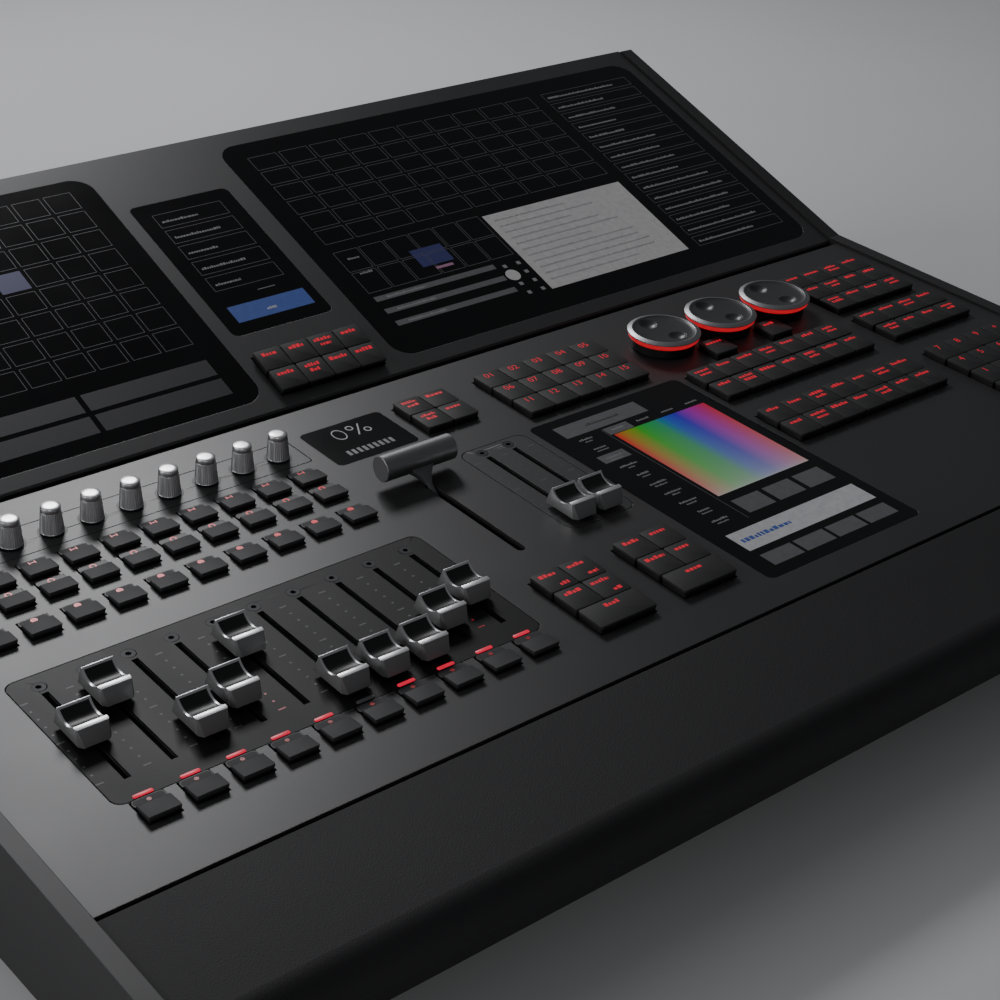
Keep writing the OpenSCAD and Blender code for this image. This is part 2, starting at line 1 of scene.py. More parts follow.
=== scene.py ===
"""Looks of the lighting control desk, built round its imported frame."""

import json
import math
import random

import bmesh
import bpy
from mathutils import Matrix, Vector


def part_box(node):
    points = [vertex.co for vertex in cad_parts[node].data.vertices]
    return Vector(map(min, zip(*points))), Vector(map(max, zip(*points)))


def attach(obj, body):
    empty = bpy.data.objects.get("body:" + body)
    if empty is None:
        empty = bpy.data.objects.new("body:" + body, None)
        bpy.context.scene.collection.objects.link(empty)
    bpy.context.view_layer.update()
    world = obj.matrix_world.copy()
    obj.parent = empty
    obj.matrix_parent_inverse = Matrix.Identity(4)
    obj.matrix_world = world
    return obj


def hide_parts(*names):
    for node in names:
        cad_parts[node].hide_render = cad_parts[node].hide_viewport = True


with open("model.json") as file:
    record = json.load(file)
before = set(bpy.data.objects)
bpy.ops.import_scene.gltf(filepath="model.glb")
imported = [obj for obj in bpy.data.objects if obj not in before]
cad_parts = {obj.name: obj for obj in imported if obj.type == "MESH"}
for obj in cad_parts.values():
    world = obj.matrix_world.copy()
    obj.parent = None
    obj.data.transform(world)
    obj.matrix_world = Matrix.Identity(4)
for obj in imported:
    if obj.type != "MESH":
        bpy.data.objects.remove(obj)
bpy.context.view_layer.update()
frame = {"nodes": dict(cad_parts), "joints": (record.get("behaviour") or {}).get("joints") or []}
draw = random.Random(7)

# ---------------------------------------------------------------- places
# The deck's own drawing is in millimetres: x to the right, y up the slope,
# z out of it, with the datum in the middle of the last playback column.

MM = 0.001
KNOB_ROW = 77.6
JOINT_LEVEL = 5.0
HINGE_S, HINGE_H = 7.0, -5.5
COLUMNS = 10
PITCH = 20.0


def joint(name):
    return next(j for j in frame["joints"] if j["name"] == name)


def drawing(origin, up):
    """The matrix that lays a drawing in millimetres on a plane with that normal."""
    across = Vector((1, 0, 0))
    back = up.cross(across)
    axes = [v.normalized() * MM for v in (across, back, up)]
    turn = Matrix((axes[0], axes[1], axes[2])).transposed().to_4x4()
    return Matrix.Translation(origin) @ turn


def deck_drawing():
    turn = joint("knob_10_turn")
    up = Vector(turn["axis"])
    back = up.cross(Vector((1, 0, 0)))
    at = Vector(turn["pos_m"])
    return drawing(at - back * KNOB_ROW * MM - up * JOINT_LEVEL * MM, up)


def screen_drawing():
    up = -Vector(joint("menu_keys_press")["axis"])
    back = up.cross(Vector((1, 0, 0)))
    at = Vector(joint("screen_deck_tilt")["pos_m"])
    at.x = Vector(joint("knob_10_turn")["pos_m"]).x
    return drawing(at - back * HINGE_S * MM - up * HINGE_H * MM, up)


def lever_drawing():
    """y is along the lever from its pivot, x along its grip."""
    pivot = Vector(joint("crossfade_lever_swing")["pos_m"])
    low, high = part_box("lever_grip")
    along = (low + high) / 2 - pivot
    return drawing(pivot, Vector((1, 0, 0)).cross(along)), along.length / MM


DECK = deck_drawing()
SCREEN = screen_drawing()
LEVER, LEVER_R = lever_drawing()


def corners(points):
    """The lowest and highest corner of the box round some points."""
    low = Vector([min(p[i] for p in points) for i in range(3)])
    high = Vector([max(p[i] for p in points) for i in range(3)])
    return low, high


def on(place, node):
    """The corners of a CAD node, in a drawing's millimetres."""
    back = place.inverted()
    return corners([back @ v.co for v in frame["nodes"][node].data.vertices])


def centre_of(box):
    """The middle of a box seen from above, at the drawing's own level."""
    return ((box[0].x + box[1].x) / 2, (box[0].y + box[1].y) / 2, 0)


def column_x(n):
    return (n - COLUMNS) * PITCH


# ---------------------------------------------------------------- finishes


class Value:
    """A number that varies over a surface, with the usual arithmetic."""

    def __init__(self, finish, socket):
        self.finish, self.socket = finish, socket

    def _maths(self, operation, first, second):
        return self.finish.node("ShaderNodeMath", {"operation": operation}, first, second)

    def __add__(self, other):
        return self._maths("ADD", self, other)

    def __radd__(self, other):
        return self._maths("ADD", other, self)

    def __sub__(self, other):
        return self._maths("SUBTRACT", self, other)

    def __rsub__(self, other):
        return self._maths("SUBTRACT", other, self)

    def __mul__(self, other):
        return self._maths("MULTIPLY", self, other)

    def __rmul__(self, other):
        return self._maths("MULTIPLY", other, self)

    def __truediv__(self, other):
        return self._maths("DIVIDE", self, other)

    def power(self, other):
        return self._maths("POWER", self, other)

    def limited(self):
        both = self.finish.node("ShaderNodeMath", {"operation": "MAXIMUM"}, self, 0.0)
        return self.finish.node("ShaderNodeMath", {"operation": "MINIMUM"}, both, 1.0)


class Finish:
    """One material, with its Principled shader and the nodes that feed it."""

    def __init__(self, name, **sockets):
        self.material = bpy.data.materials.new(name)
        self.material.use_nodes = True
        self.tree = self.material.node_tree
        self.tree.nodes.clear()
        self.output = self.tree.nodes.new("ShaderNodeOutputMaterial")
        self.shader = self.tree.nodes.new("ShaderNodeBsdfPrincipled")
        self.tree.links.new(self.shader.outputs[0], self.output.inputs[0])
        for socket, value in sockets.items():
            self.set(socket.replace("_", " ").title().replace("Ior", "IOR"), value)

    def set(self, socket, value):
        self._feed(self.shader.inputs[socket], value)

    def _feed(self, socket, value):
        if isinstance(value, Value):
            self.tree.links.new(value.socket, socket)
        elif isinstance(value, tuple) and socket.type == "RGBA":
            socket.default_value = (*value[:3], 1.0)
        else:
            socket.default_value = value

    def node(self, kind, settings, *inputs, output=0, **named):
        new = self.tree.nodes.new(kind)
        for key, value in settings.items():
            if key == "stops":
                self._stops(new.color_ramp, value)
            else:
                setattr(new, key, value)
        for socket, value in zip(new.inputs, inputs):
            if value is not None:
                self._feed(socket, value)
        for key, value in named.items():
            self._feed(new.inputs[key.replace("_", " ").title()], value)
        return Value(self, new.outputs[output])

    def _stops(self, ramp, stops):
        while len(ramp.elements) > 1:
            ramp.elements.remove(ramp.elements[-1])
        for i, (place, colour) in enumerate(stops):
            stop = ramp.elements[0] if i == 0 else ramp.elements.new(place)
            stop.position = place
            stop.color = (*colour, 1.0)

    def here(self):
        return self.node("ShaderNodeTexCoord", {}, output="Object")

    def noise(self, size, detail=3.0, rough=0.55, stretch=(1, 1, 1)):
        """Noise whose grain is about size metres wide."""
        at = self.node("ShaderNodeMapping", {}, self.here(), None, None, Vector(stretch))
        return self.node("ShaderNodeTexNoise", {}, Vector=at, Scale=0.5 / size,
                         Detail=detail, Roughness=rough)

    def blend(self, amount, first, second):
        mix = self.tree.nodes.new("ShaderNodeMix")
        mix.data_type = "RGBA"
        colours = [s for s in mix.inputs if s.type == "RGBA"]
        self._feed(mix.inputs[0], amount)
        self._feed(colours[0], first)
        self._feed(colours[1], second)
        return Value(self, next(s for s in mix.outputs if s.type == "RGBA"))

    def edges(self, radius):
        """The normal of the surface with its sharp edges rounded."""
        return self.node("ShaderNodeBevel", {"samples": 4}, Radius=radius)

    def bump(self, height, depth, strength=1.0, normal=None):
        relief = self.node("ShaderNodeBump", {}, Strength=strength, Distance=depth,
                           Height=height)
        if normal is not None:
            bump = self.tree.nodes[-1]
            self.tree.links.new(normal.socket, bump.inputs["Normal"])
        self.set("Normal", relief)


def powder_coat(name, colour, lighter, roughness, edge=0.0005):
    """Fine textured paint: an even speckle, soft handling marks, rounded edges."""
    f = Finish(name, roughness=roughness, specular_ior_level=0.55)
    speckle = f.noise(0.00035, 2.0)
    cloud = f.noise(0.07, 3.0)
    f.set("Base Color", f.blend((speckle * 0.45 + cloud * 0.55).limited(), colour, lighter))
    f.set("Roughness", roughness - 0.06 + cloud * 0.1 + speckle * 0.04)
    f.bump(speckle, 0.00003, 0.5, f.edges(edge))
    return f.material


def satin_black(name, colour, roughness, edge=0.0003, sheen=0.5):
    """A smooth laminate with faint wipe marks."""
    f = Finish(name, base_color=colour, specular_ior_level=sheen)
    wipes = f.noise(0.02, 4.0, 0.6, (1.0, 0.25, 1.0))
    dust = f.noise(0.0006, 1.0)
    f.set("Base Color", f.blend(wipes * 0.5, colour, tuple(c * 1.8 + 0.002 for c in colour)))
    f.set("Roughness", roughness + wipes * 0.12)
    f.bump(dust, 0.00001, 0.4, f.edges(edge))
    return f.material


def soft_touch(name, colour):
    """Moulded silicone-coated plastic."""
    f = Finish(name, specular_ior_level=0.22)
    grain = f.noise(0.0003, 2.0)
    rub = f.noise(0.009, 2.0)
    f.set("Base Color", f.blend(rub, colour, tuple(c * 1.35 for c in colour)))
    f.set("Roughness", 0.5 + rub * 0.12)
    f.bump(grain, 0.00002, 0.5)
    return f.material


def arm_grain(name):
    """A padded rest's fine pebbled skin."""
    f = Finish(name, specular_ior_level=0.35)
    cells = f.node("ShaderNodeTexVoronoi", {"feature": "F1"}, Vector=f.here(), Scale=1600.0)
    cloud = f.noise(0.05, 3.0)
    f.set("Base Color", f.blend(cloud, (0.010, 0.010, 0.011), (0.020, 0.020, 0.022)))
    f.set("Roughness", 0.58 + cloud * 0.12)
    f.bump(cells, 0.00012, 0.5, f.edges(0.0006))
    return f.material


def brushed(name, colour, roughness, along=(1, 14, 14), edge=0.0, metal=1.0):
    """Metal, or metallic paint, with fine brush lines and slightly darker rubbed patches."""
    f = Finish(name, metallic=metal)
    lines = f.noise(0.0005, 3.0, 0.6, along)
    patch = f.noise(0.006, 2.0)
    dark = tuple(c * 0.72 for c in colour)
    f.set("Base Color", f.blend((lines * 0.4 + patch * 0.5).limited(), colour, dark))
    f.set("Roughness", roughness + lines * 0.12 + patch * 0.06)
    f.bump(lines, 0.00002, 0.35, f.edges(edge) if edge else None)
    return f.material


def glass_black(name):
    """The dark cover glass of a display."""
    f = Finish(name, roughness=0.08, specular_ior_level=0.3)
    haze = f.noise(0.03, 3.0)
    f.set("Base Color", f.blend(haze, (0.0015, 0.0015, 0.002), (0.003, 0.003, 0.004)))
    f.set("Roughness", 0.10 + haze * 0.10)
    return f.material


def lit(name, colour, strength, base=(0.006, 0.006, 0.007)):
    """A lit mark, a little uneven as a lamp behind a legend is."""
    f = Finish(name, roughness=0.35, emission_strength=strength, base_color=base)
    glow = f.noise(0.0016, 1.0)
    f.set("Emission Color", f.blend(glow, tuple(c * 0.72 for c in colour), colour))
    return f.material


def ink(name, colour):
    """Printed ink, slightly broken by the grain below it."""
    f = Finish(name, roughness=0.5)
    f.set("Base Color", f.blend(f.noise(0.0004), colour, tuple(c * 0.75 for c in colour)))
    return f.material


FIELD_HUES = ((0.0, (0.34, 0.004, 0.004)), (0.10, (0.20, 0.12, 0.002)),
              (0.24, (0.012, 0.21, 0.002)), (0.42, (0.004, 0.17, 0.06)),
              (0.54, (0.004, 0.05, 0.26)), (0.66, (0.012, 0.002, 0.26)),
              (0.80, (0.19, 0.002, 0.22)), (1.0, (0.32, 0.006, 0.02)))


def colour_field(name, low, high):
    """Hue from left to right and paler towards the operator, as a colour picker shows it."""
    f = Finish(name, roughness=0.25, emission_strength=1.0, base_color=(0.004, 0.004, 0.004))
    x = f.node("ShaderNodeSeparateXYZ", {}, f.here())
    y = Value(f, x.socket.node.outputs[1])
    across = ((x - low.x) / (high.x - low.x)).limited()
    up = ((y - low.y) / (high.y - low.y)).limited()
    hue = f.node("ShaderNodeValToRGB", {"stops": FIELD_HUES}, across)
    f.set("Emission Color", f.blend(up.power(0.26), (0.27, 0.28, 0.27), hue))
    return f.material


PAINT = powder_coat("deck_powder_coat", (0.020, 0.020, 0.0215), (0.034, 0.034, 0.036), 0.40)
CASE = powder_coat("case_powder_coat", (0.010, 0.010, 0.011), (0.018, 0.018, 0.019), 0.5)
PANEL = satin_black("bank_laminate", (0.005, 0.005, 0.0055), 0.42, sheen=0.22)
ARM = arm_grain("armrest_skin")
KEY = soft_touch("key_soft_touch", (0.025, 0.025, 0.026))
SMALL_KEY = soft_touch("small_key_soft_touch", (0.036, 0.036, 0.038))
# Near-black painted shade: key skirts and sides, small-key window sides, the shaded middle-row
# windows, the recess round each knob and the wheels' necks.
SHADE_BLACK = satin_black("painted_shade_black", (0.0035, 0.0035, 0.004), 0.4)
SILVER = brushed("cap_silver", (0.82, 0.82, 0.83), 0.26, metal=0.9)
# A darker copy of the cap silver for the fader caps' front faces: painted shade on the face turned
# away from the rear lamp.
CAP_FRONT_SHADE = brushed("cap_front_painted_shade", (0.26, 0.26, 0.265), 0.40, metal=0.6)
DISH = satin_black("cap_dish_black", (0.006, 0.006, 0.0065), 0.34)
KNOB = brushed("knob_aluminium", (0.74, 0.74, 0.75), 0.22, (14, 14, 1), metal=0.92)
GRIP = brushed("grip_satin_grey", (0.32, 0.32, 0.325), 0.34, (1, 20, 20), metal=0.95)
GRIP_END = powder_coat("grip_end_grey", (0.10, 0.10, 0.105), (0.14, 0.14, 0.145), 0.5)
STEM = powder_coat("lever_stem_grey", (0.07, 0.07, 0.075), (0.10, 0.10, 0.105), 0.35, 0.0002)
WHEEL = powder_coat("wheel_satin_black", (0.034, 0.034, 0.036), (0.05, 0.05, 0.052), 0.34)
RIM = brushed("wheel_rim_grey", (0.42, 0.42, 0.44), 0.3, (1, 1, 6))
GLASS = glass_black("display_glass")
SCREW = brushed("screw_blackened", (0.04, 0.04, 0.043), 0.42, (4, 4, 4), 0.0002)
STEEL = brushed("bright_steel", (0.50, 0.50, 0.52), 0.32, (1, 10, 10), 0.0003)
SOCKET = brushed("socket_nickel", (0.33, 0.33, 0.35), 0.3, (6, 6, 6), 0.0003)
BOARD = satin_black("circuit_board_green", (0.01, 0.06, 0.03), 0.4)
RUBBER = soft_touch("foot_rubber", (0.012, 0.012, 0.012))
RED = lit("legend_red", (0.64, 0.010, 0.028), 1.1)
RED_LOW = lit("legend_red_dim", (0.30, 0.006, 0.014), 0.7)
LAMP = lit("bar_lamp_red", (0.80, 0.016, 0.052), 1.0)
RING = lit("wheel_ring_red", (0.66, 0.012, 0.022), 0.9)
LAMP_OFF = ink("bar_lamp_unlit", (0.10, 0.10, 0.105))
PRINT = ink("scale_print_grey", (0.085, 0.085, 0.09))
SCREEN_WHITE = lit("display_white", (0.21, 0.205, 0.21), 1.0)
SCREEN_PALE = lit("display_pale", (0.23, 0.23, 0.245), 1.0)
SCREEN_GREY = lit("display_grey", (0.105, 0.105, 0.11), 1.0)
SCREEN_LINE = lit("display_line", (0.050, 0.050, 0.055), 1.0)
SCREEN_DIM = lit("display_dim", (0.010, 0.010, 0.0115), 1.0)
SCREEN_NAVY = lit("display_navy", (0.010, 0.012, 0.060), 1.0)
SCREEN_BLUE = lit("display_blue", (0.022, 0.045, 0.17), 1.0)
SCREEN_PINK = lit("display_pink", (0.16, 0.075, 0.13), 1.0)

# ---------------------------------------------------------------- making pieces


def in_scene(name, data):
    thing = bpy.data.objects.new(name, data)
    bpy.context.scene.collection.objects.link(thing)
    return thing


def deselect():
    if bpy.context.object and bpy.context.object.mode != "OBJECT":
        bpy.ops.object.mode_set(mode="OBJECT")
    bpy.ops.object.select_all(action="DESELECT")


def choose(piece):
    """Makes the piece the only one selected, and the active one."""
    deselect()
    bpy.context.view_layer.objects.active = piece
    piece.select_set(True)


def made(name):
    """Names the new primitive, puts its place into its mesh and gives it back."""
    piece = bpy.context.object
    bpy.ops.object.transform_apply(location=True, rotation=True, scale=True)
    piece.name = piece.data.name = name
    return piece


def block(name, left, front, right, rear, low, high):
    deselect()
    bpy.ops.mesh.primitive_cube_add(
        size=1, location=((left + right) / 2, (front + rear) / 2, (low + high) / 2),
        scale=(right - left, rear - front, high - low))
    return made(name)


def disc(name, radius, low, high, sides=64, at=(0, 0)):
    deselect()
    bpy.ops.mesh.primitive_cylinder_add(
        vertices=sides, radius=radius, depth=high - low,
        location=(at[0], at[1], (low + high) / 2))
    return made(name)


def tile(name, left, front, right, rear, level):
    deselect()
    bpy.ops.mesh.primitive_plane_add(
        size=1, location=((left + right) / 2, (front + rear) / 2, level))
    bpy.context.object.scale = (right - left, rear - front, 1)
    return made(name)


def edit(piece, mode="FACE", select="DESELECT"):
    choose(piece)
    bpy.ops.object.mode_set(mode="EDIT")
    bpy.ops.mesh.select_mode(type=mode)
    bpy.ops.mesh.select_all(action=select)


def pick(piece, test, mode="FACE"):
    """Opens the piece for editing with the faces or edges selected that pass test."""
    edit(piece, mode)
    mesh = bmesh.from_edit_mesh(piece.data)
    mesh.select_mode = {mode}
    for element in (mesh.faces if mode == "FACE" else mesh.edges):
        element.select_set(bool(test(element)))
    mesh.select_flush_mode()
    bmesh.update_edit_mesh(piece.data)


def done():
    bpy.ops.object.mode_set(mode="OBJECT")


def middle(edge):
    return (edge.verts[0].co + edge.verts[1].co) / 2


def is_upright(edge):
    span = edge.verts[0].co - edge.verts[1].co
    return abs(span.z) > 0.99 * span.length


def round_uprights(piece, width, segments):
    pick(piece, is_upright, "EDGE")
    bpy.ops.mesh.bevel(offset=width, segments=segments, affect="EDGES")
    done()


def round_top(piece, width, segments):
    """Bevels the edge all round the piece's highest flat face."""
    top = max(v.co.z for v in piece.data.vertices)
    pick(piece, lambda e: all(abs(v.co.z - top) < 0.01 for v in e.verts)
         and sum(abs(f.normal.z) < 0.5 for f in e.link_faces) == 1, "EDGE")
    bpy.ops.mesh.bevel(offset=width, segments=segments, affect="EDGES")
    done()


def modify(piece, kind, **settings):
    choose(piece)
    modifier = piece.modifiers.new("shape", kind)
    for key, value in settings.items():
        setattr(modifier, key, value)
    bpy.ops.object.modifier_apply(modifier=modifier.name)


def cut(piece, tool):
    modify(piece, "BOOLEAN", operation="DIFFERENCE", object=tool, solver="EXACT")
    bpy.data.objects.remove(tool)


def paint(piece, *materials):
    piece.data.materials.clear()
    for material in materials:
        piece.data.materials.append(material)
    return piece


def paint_where(piece, slot, test):
    for face in piece.data.polygons:
        if test(face):
            face.material_index = slot


def smooth(piece, angle=35):
    choose(piece)
    bpy.ops.object.shade_smooth_by_angle(angle=math.radians(angle))
    return piece


def repeat(name, master, places):
    """One piece made of a copy of master's mesh at each place, a matrix or a point."""
    mesh = bmesh.new()
    for place in places:
        if not isinstance(place, Matrix):
            place = Matrix.Translation(Vector(place).to_3d())
        before = len(mesh.verts)
        mesh.from_mesh(master.data)
        mesh.verts.ensure_lookup_table()
        bmesh.ops.transform(mesh, matrix=place, verts=mesh.verts[before:])
    data = bpy.data.meshes.new(name)
    mesh.to_mesh(data)
    mesh.free()
    for material in master.data.materials:
        data.materials.append(material)
    return in_scene(name, data)


def drop(*pieces):
    for piece in pieces:
        bpy.data.objects.remove(piece)


def joined(name, pieces):
    deselect()
    for piece in pieces:
        piece.select_set(True)
    bpy.context.view_layer.objects.active = pieces[0]
    bpy.ops.object.join()
    pieces[0].name = pieces[0].data.name = name
    return pieces[0]


def settle(piece, place, body, slot, *stands_for):
    """Lays a piece drawn in millimetres in its place and lets it ride on its body."""
    piece.data.transform(place)
    piece.data.update()
    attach(piece, body)
    if stands_for:
        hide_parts(*stands_for)
    return piece


def words(name, text, size, at, material):
    """A numeral or sign, cut as a thin flat mesh."""
    deselect()
    bpy.ops.object.text_add(location=(0, 0, 0))
    piece = bpy.context.object
    piece.data.body = text
    piece.data.size = size
    piece.data.align_x = "CENTER"
    piece.data.align_y = "CENTER"
    piece.data.resolution_u = 3
    bpy.ops.object.convert(target="MESH")
    piece = bpy.context.object
    piece.name = piece.data.name = name
    piece.data.transform(Matrix.Translation(Vector(at)))
    return paint(piece, material)


def marks(name, spots, level, material):
    """Flat printed or lit marks: one tile for each (left, front, right, rear)."""
    unit = tile("unit_mark", -0.5, -0.5, 0.5, 0.5, 0)
    paint(unit, material)
    places = []
    for left, front, right, rear in spots:
        size = Matrix.Diagonal((right - left, rear - front, 1, 1))
        at = Vector(((left + right) / 2, (front + rear) / 2, level))
        places.append(Matrix.Translation(at) @ size)
    piece = repeat(name, unit, places)
    drop(unit)
    return piece


def word_line(x, y, width, height):
    """The tiles of a line of greeked text centred on x, y."""
    spots = []
    at = x - width / 2
    while at < x + width / 2 - 0.2:
        w = min(draw.uniform(0.45, 0.95) * height, x + width / 2 - at)
        h = height * draw.choice((0.72, 0.72, 1.0))
        spots.append((at, y - height / 2, at + w, y - height / 2 + h))
        at += w + 0.22 * height
    return spots


def solids(node, place=None):
    """Copies of a CAD node's separate solids, each a piece with its doubles merged."""
    copy = in_scene(node + "_solid", frame["nodes"][node].data.copy())
    if place:
        copy.data.transform(place.inverted())
    edit(copy, select="SELECT")
    bpy.ops.mesh.remove_doubles(threshold=0.002 if place else 0.000002)
    bpy.ops.mesh.separate(type="LOOSE")
    done()
    return list(bpy.context.selected_objects)


def extent(piece):
    return corners([v.co for v in piece.data.vertices])


def boxes(node, place=DECK):
    """The box of each separate solid of a node, row by row from the rear left."""
    found = solids(node, place)
    sizes = [extent(piece) for piece in found]
    drop(*found)
    return sorted(sizes, key=lambda b: (-round(b[0].y), b[0].x))


def first_point(place):
    """A primitive merged to the single vertex that a profile starts from."""
    deselect()
    bpy.ops.mesh.primitive_plane_add(size=1)
    edit(bpy.context.object, "VERT", "SELECT")
    bpy.ops.mesh.merge(type="CENTER")
    bpy.ops.transform.translate(value=place)


def outline(name, points, width):
    """A profile of (y, z) points drawn edge by edge, then extruded width along X."""
    first_point((-width / 2, *points[0]))
    for here, there in zip(points, points[1:]):
        step = (0, there[0] - here[0], there[1] - here[1])
        bpy.ops.mesh.extrude_region_move(TRANSFORM_OT_translate={"value": step})
    bpy.ops.mesh.select_all(action="SELECT")
    bpy.ops.mesh.edge_face_add()
    bpy.ops.mesh.extrude_region_move(TRANSFORM_OT_translate={"value": (width, 0, 0)})
    bpy.ops.mesh.select_all(action="SELECT")
    bpy.ops.mesh.normals_make_consistent(inside=False)
    done()
    return made(name)


def turned(name, points, sides=72):
    """A profile of (radius, height) points spun round the upright axis."""
    first_point((points[0][0], 0, points[0][1]))
    for here, there in zip(points, points[1:]):
        step = (there[0] - here[0], 0, there[1] - here[1])
        bpy.ops.mesh.extrude_region_move(TRANSFORM_OT_translate={"value": step})
    bpy.ops.mesh.select_all(action="SELECT")
    bpy.ops.mesh.spin(steps=sides, angle=math.tau, center=(0, 0, 0), axis=(0, 0, 1))
    bpy.ops.mesh.select_all(action="SELECT")
    bpy.ops.mesh.remove_doubles(threshold=0.001)
    bpy.ops.mesh.normals_make_consistent(inside=False)
    done()
    return made(name)


def arc(centre, radius, start, stop, steps):
    """Points along an arc, with its angles in degrees."""
    turns = [math.radians(start + (stop - start) * i / steps) for i in range(steps + 1)]
    return [(centre[0] + radius * math.cos(t), centre[1] + radius * math.sin(t))
            for t in turns]


# ---------------------------------------------------------------- view, light and floor

EYE = Vector((-443.1, -605.0, 451.4))
AIM = Vector((63.1, -14.7, 0.0))
ROLL = math.radians(3.12)


def aimed(place, target, roll=0.0):
    ahead = (target - place).normalized()
    across = ahead.cross(DECK.to_3x3() @ Vector((0, 0, 1))).normalized()
    up = across.cross(ahead)
    turn = Matrix((across, up, -ahead)).transposed() @ Matrix.Rotation(roll, 3, "Z")
    return Matrix.Translation(place) @ turn.to_4x4()


def add_camera():
    lens = bpy.data.cameras.new("view")
    lens.lens, lens.sensor_width = 69.0, 36.0
    lens.clip_start = 0.02
    camera = in_scene("view", lens)
    camera.matrix_world = aimed(DECK @ EYE, DECK @ AIM, ROLL)
    bpy.context.scene.camera = camera


def add_softbox(name, place, target, width, height, power, colour=(1, 1, 1)):
    lamp = bpy.data.lights.new(name, "AREA")
    lamp.shape = "RECTANGLE"
    lamp.size, lamp.size_y = width, height
    lamp.energy, lamp.color = power, colour
    light = in_scene(name, lamp)
    light.matrix_world = aimed(Vector(place), Vector(target))


def add_studio():
    world = bpy.data.worlds.new("studio")
    world.use_nodes = True
    sky = world.node_tree.nodes["Background"]
    sky.inputs["Color"].default_value = (0.93, 0.96, 1.0, 1)
    sky.inputs["Strength"].default_value = 0.10
    bpy.context.scene.world = world
    centre = (0, 0, 0.08)
    add_softbox("rear_softbox", (0.42, 1.38, 1.30), centre, 0.6, 0.4, 14, (0.98, 0.98, 1))
    add_softbox("left_softbox", (-1.7, 0.4, 0.8), centre, 1.2, 0.7, 11)
    add_softbox("front_left_fill", (-1.3, -1.5, 0.8), centre, 0.7, 0.7, 3.5)


def add_floor():
    deselect()
    bpy.ops.mesh.primitive_plane_add(size=8)
    floor = bpy.context.object
    floor.name = "floor"
    pale = Finish("floor_pale", roughness=0.7)
    pale.set("Base Color", pale.blend(pale.noise(0.2), (0.66, 0.66, 0.67), (0.72, 0.72, 0.73)))
    paint(floor, pale.material)


# ---------------------------------------------------------------- carried-over nodes

CAD_FINISH = {
    CASE: ("base_tray", "left_cheek", "right_cheek", "rear_panel", "screen_deck_cover"),
    PAINT: ("control_plate", "screen_deck"),
    ARM: ("armrest",),
    SCREW: ("case_screws",),
    STEEL: ("fader_tracks", "power_supply", "lever_bracket", "hinge_pins"),
    BOARD: ("control_boards", "main_board"),
    SOCKET: ("rear_sockets",),
    RUBBER: ("rubber_feet",),
    GLASS: ("status_display", "palette_screen", "main_screen", "side_screen", "menu_screen"),
}


def finish_cad_nodes():
    for material, names in CAD_FINISH.items():
        for name in names:
            mesh = frame["nodes"][name].data
            mesh.materials.clear()
            mesh.materials.append(material)


PANEL_TRIM = 0.5 * MM
WIDE_PANEL, DEEP_PANEL = 150, 50


def lay_panels():
    """The bank's dark laminate, and the painted master panel and knob strip."""
    for piece in solids("fader_panels"):
        low, high = extent(piece)
        wide = (high.x - low.x) / MM > WIDE_PANEL
        deep = (high.y - low.y) / MM > DEEP_PANEL
        name = "bank_panel" if wide and deep else "knob_strip" if wide else "master_panel"
        piece.name = piece.data.name = name
        to_middle = Matrix.Translation((low + high) / 2)
        trim = Matrix.Diagonal((1 - PANEL_TRIM / (high.x - low.x),
                                1 - PANEL_TRIM / (high.y - low.y), 1, 1))
        piece.data.transform(to_middle @ trim @ to_middle.inverted())
        for face in piece.data.polygons:
            face.use_smooth = False
        paint(piece, PANEL if name == "bank_panel" else PAINT)
        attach(piece, "desk")
        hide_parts("fader_panels")


# ---------------------------------------------------------------- fader caps


def fader_cap_master():
    """A silver cap with a dark finger dish, a bright ridge and a front face painted dark as
    painted shade.
    """
    length, width, foot, top = 21.8, 14.2, 2.0, 10.9
    rear, front = length / 2, -length / 2
    dish = arc((0.3, 14.6), 7.7, -29, -136.5, 14)
    profile = [(rear, foot), (rear - 0.3, foot + 0.9), (rear - 3.5, top), *dish,
               (-5.5, 9.35), (-8.0, 9.2), (front, foot + 0.3), (front + 0.2, foot)]
    cap = outline("fader_cap", profile, width)
    paint(cap, SILVER, DISH, CAP_FRONT_SHADE)
    for side in (1, -1):
        edit(cap, select="SELECT")
        bpy.ops.mesh.bisect(plane_co=(side * width / 2, -6.9, top),
                            plane_no=(side * 0.80, -0.55, 0.10),
                            use_fill=True, clear_outer=True)
        done()
    pick(cap, lambda f: f.normal.z > 0.3 and -5.3 < f.calc_center_median().y < 6.9
         and abs(f.normal.x) < 0.1)
    bpy.ops.mesh.inset(thickness=0.95, use_boundary=True)
    bpy.ops.mesh.inset(thickness=0.12, depth=-0.18, use_boundary=True)
    done()
    paint_where(cap, 1, lambda f: f.normal.z > 0.3 and -5.0 < f.center.y < 6.3
                and abs(f.center.x) < width / 2 - 0.9)
    # The front face gets the darker copy of the silver: painted shade on the side turned away from
    # the lamps.
    paint_where(cap, 2, lambda f: f.normal.y < -0.5 and f.center.y < -7 and f.center.z < 9)
    modify(cap, "BEVEL", width=0.4, segments=3, limit_method="ANGLE",
           angle_limit=math.radians(32))
    return smooth(cap, 30)


def fit_fader_caps():
    master = fader_cap_master()
    stem = block("fader_stem", -0.6, -2.1, 0.6, 2.1, -11, 2.2)
    paint(stem, SCREW)
    homes = [(f"fader_cap_{n:02d}", f"fader_{n:02d}") for n in range(1, COLUMNS + 1)]
    homes += [("master_cap_" + side, "master_fader_" + side) for side in ("left", "right")]
    for node, body in homes:
        at = [centre_of(on(DECK, node))]
        settle(repeat(node + "_shell", master, at), DECK, body, "cap_metal", node)
        settle(repeat(node + "_blade", stem, at), DECK, body, "dark_steel", node)
    drop(master, stem)


# ---------------------------------------------------------------- knobs and wheels


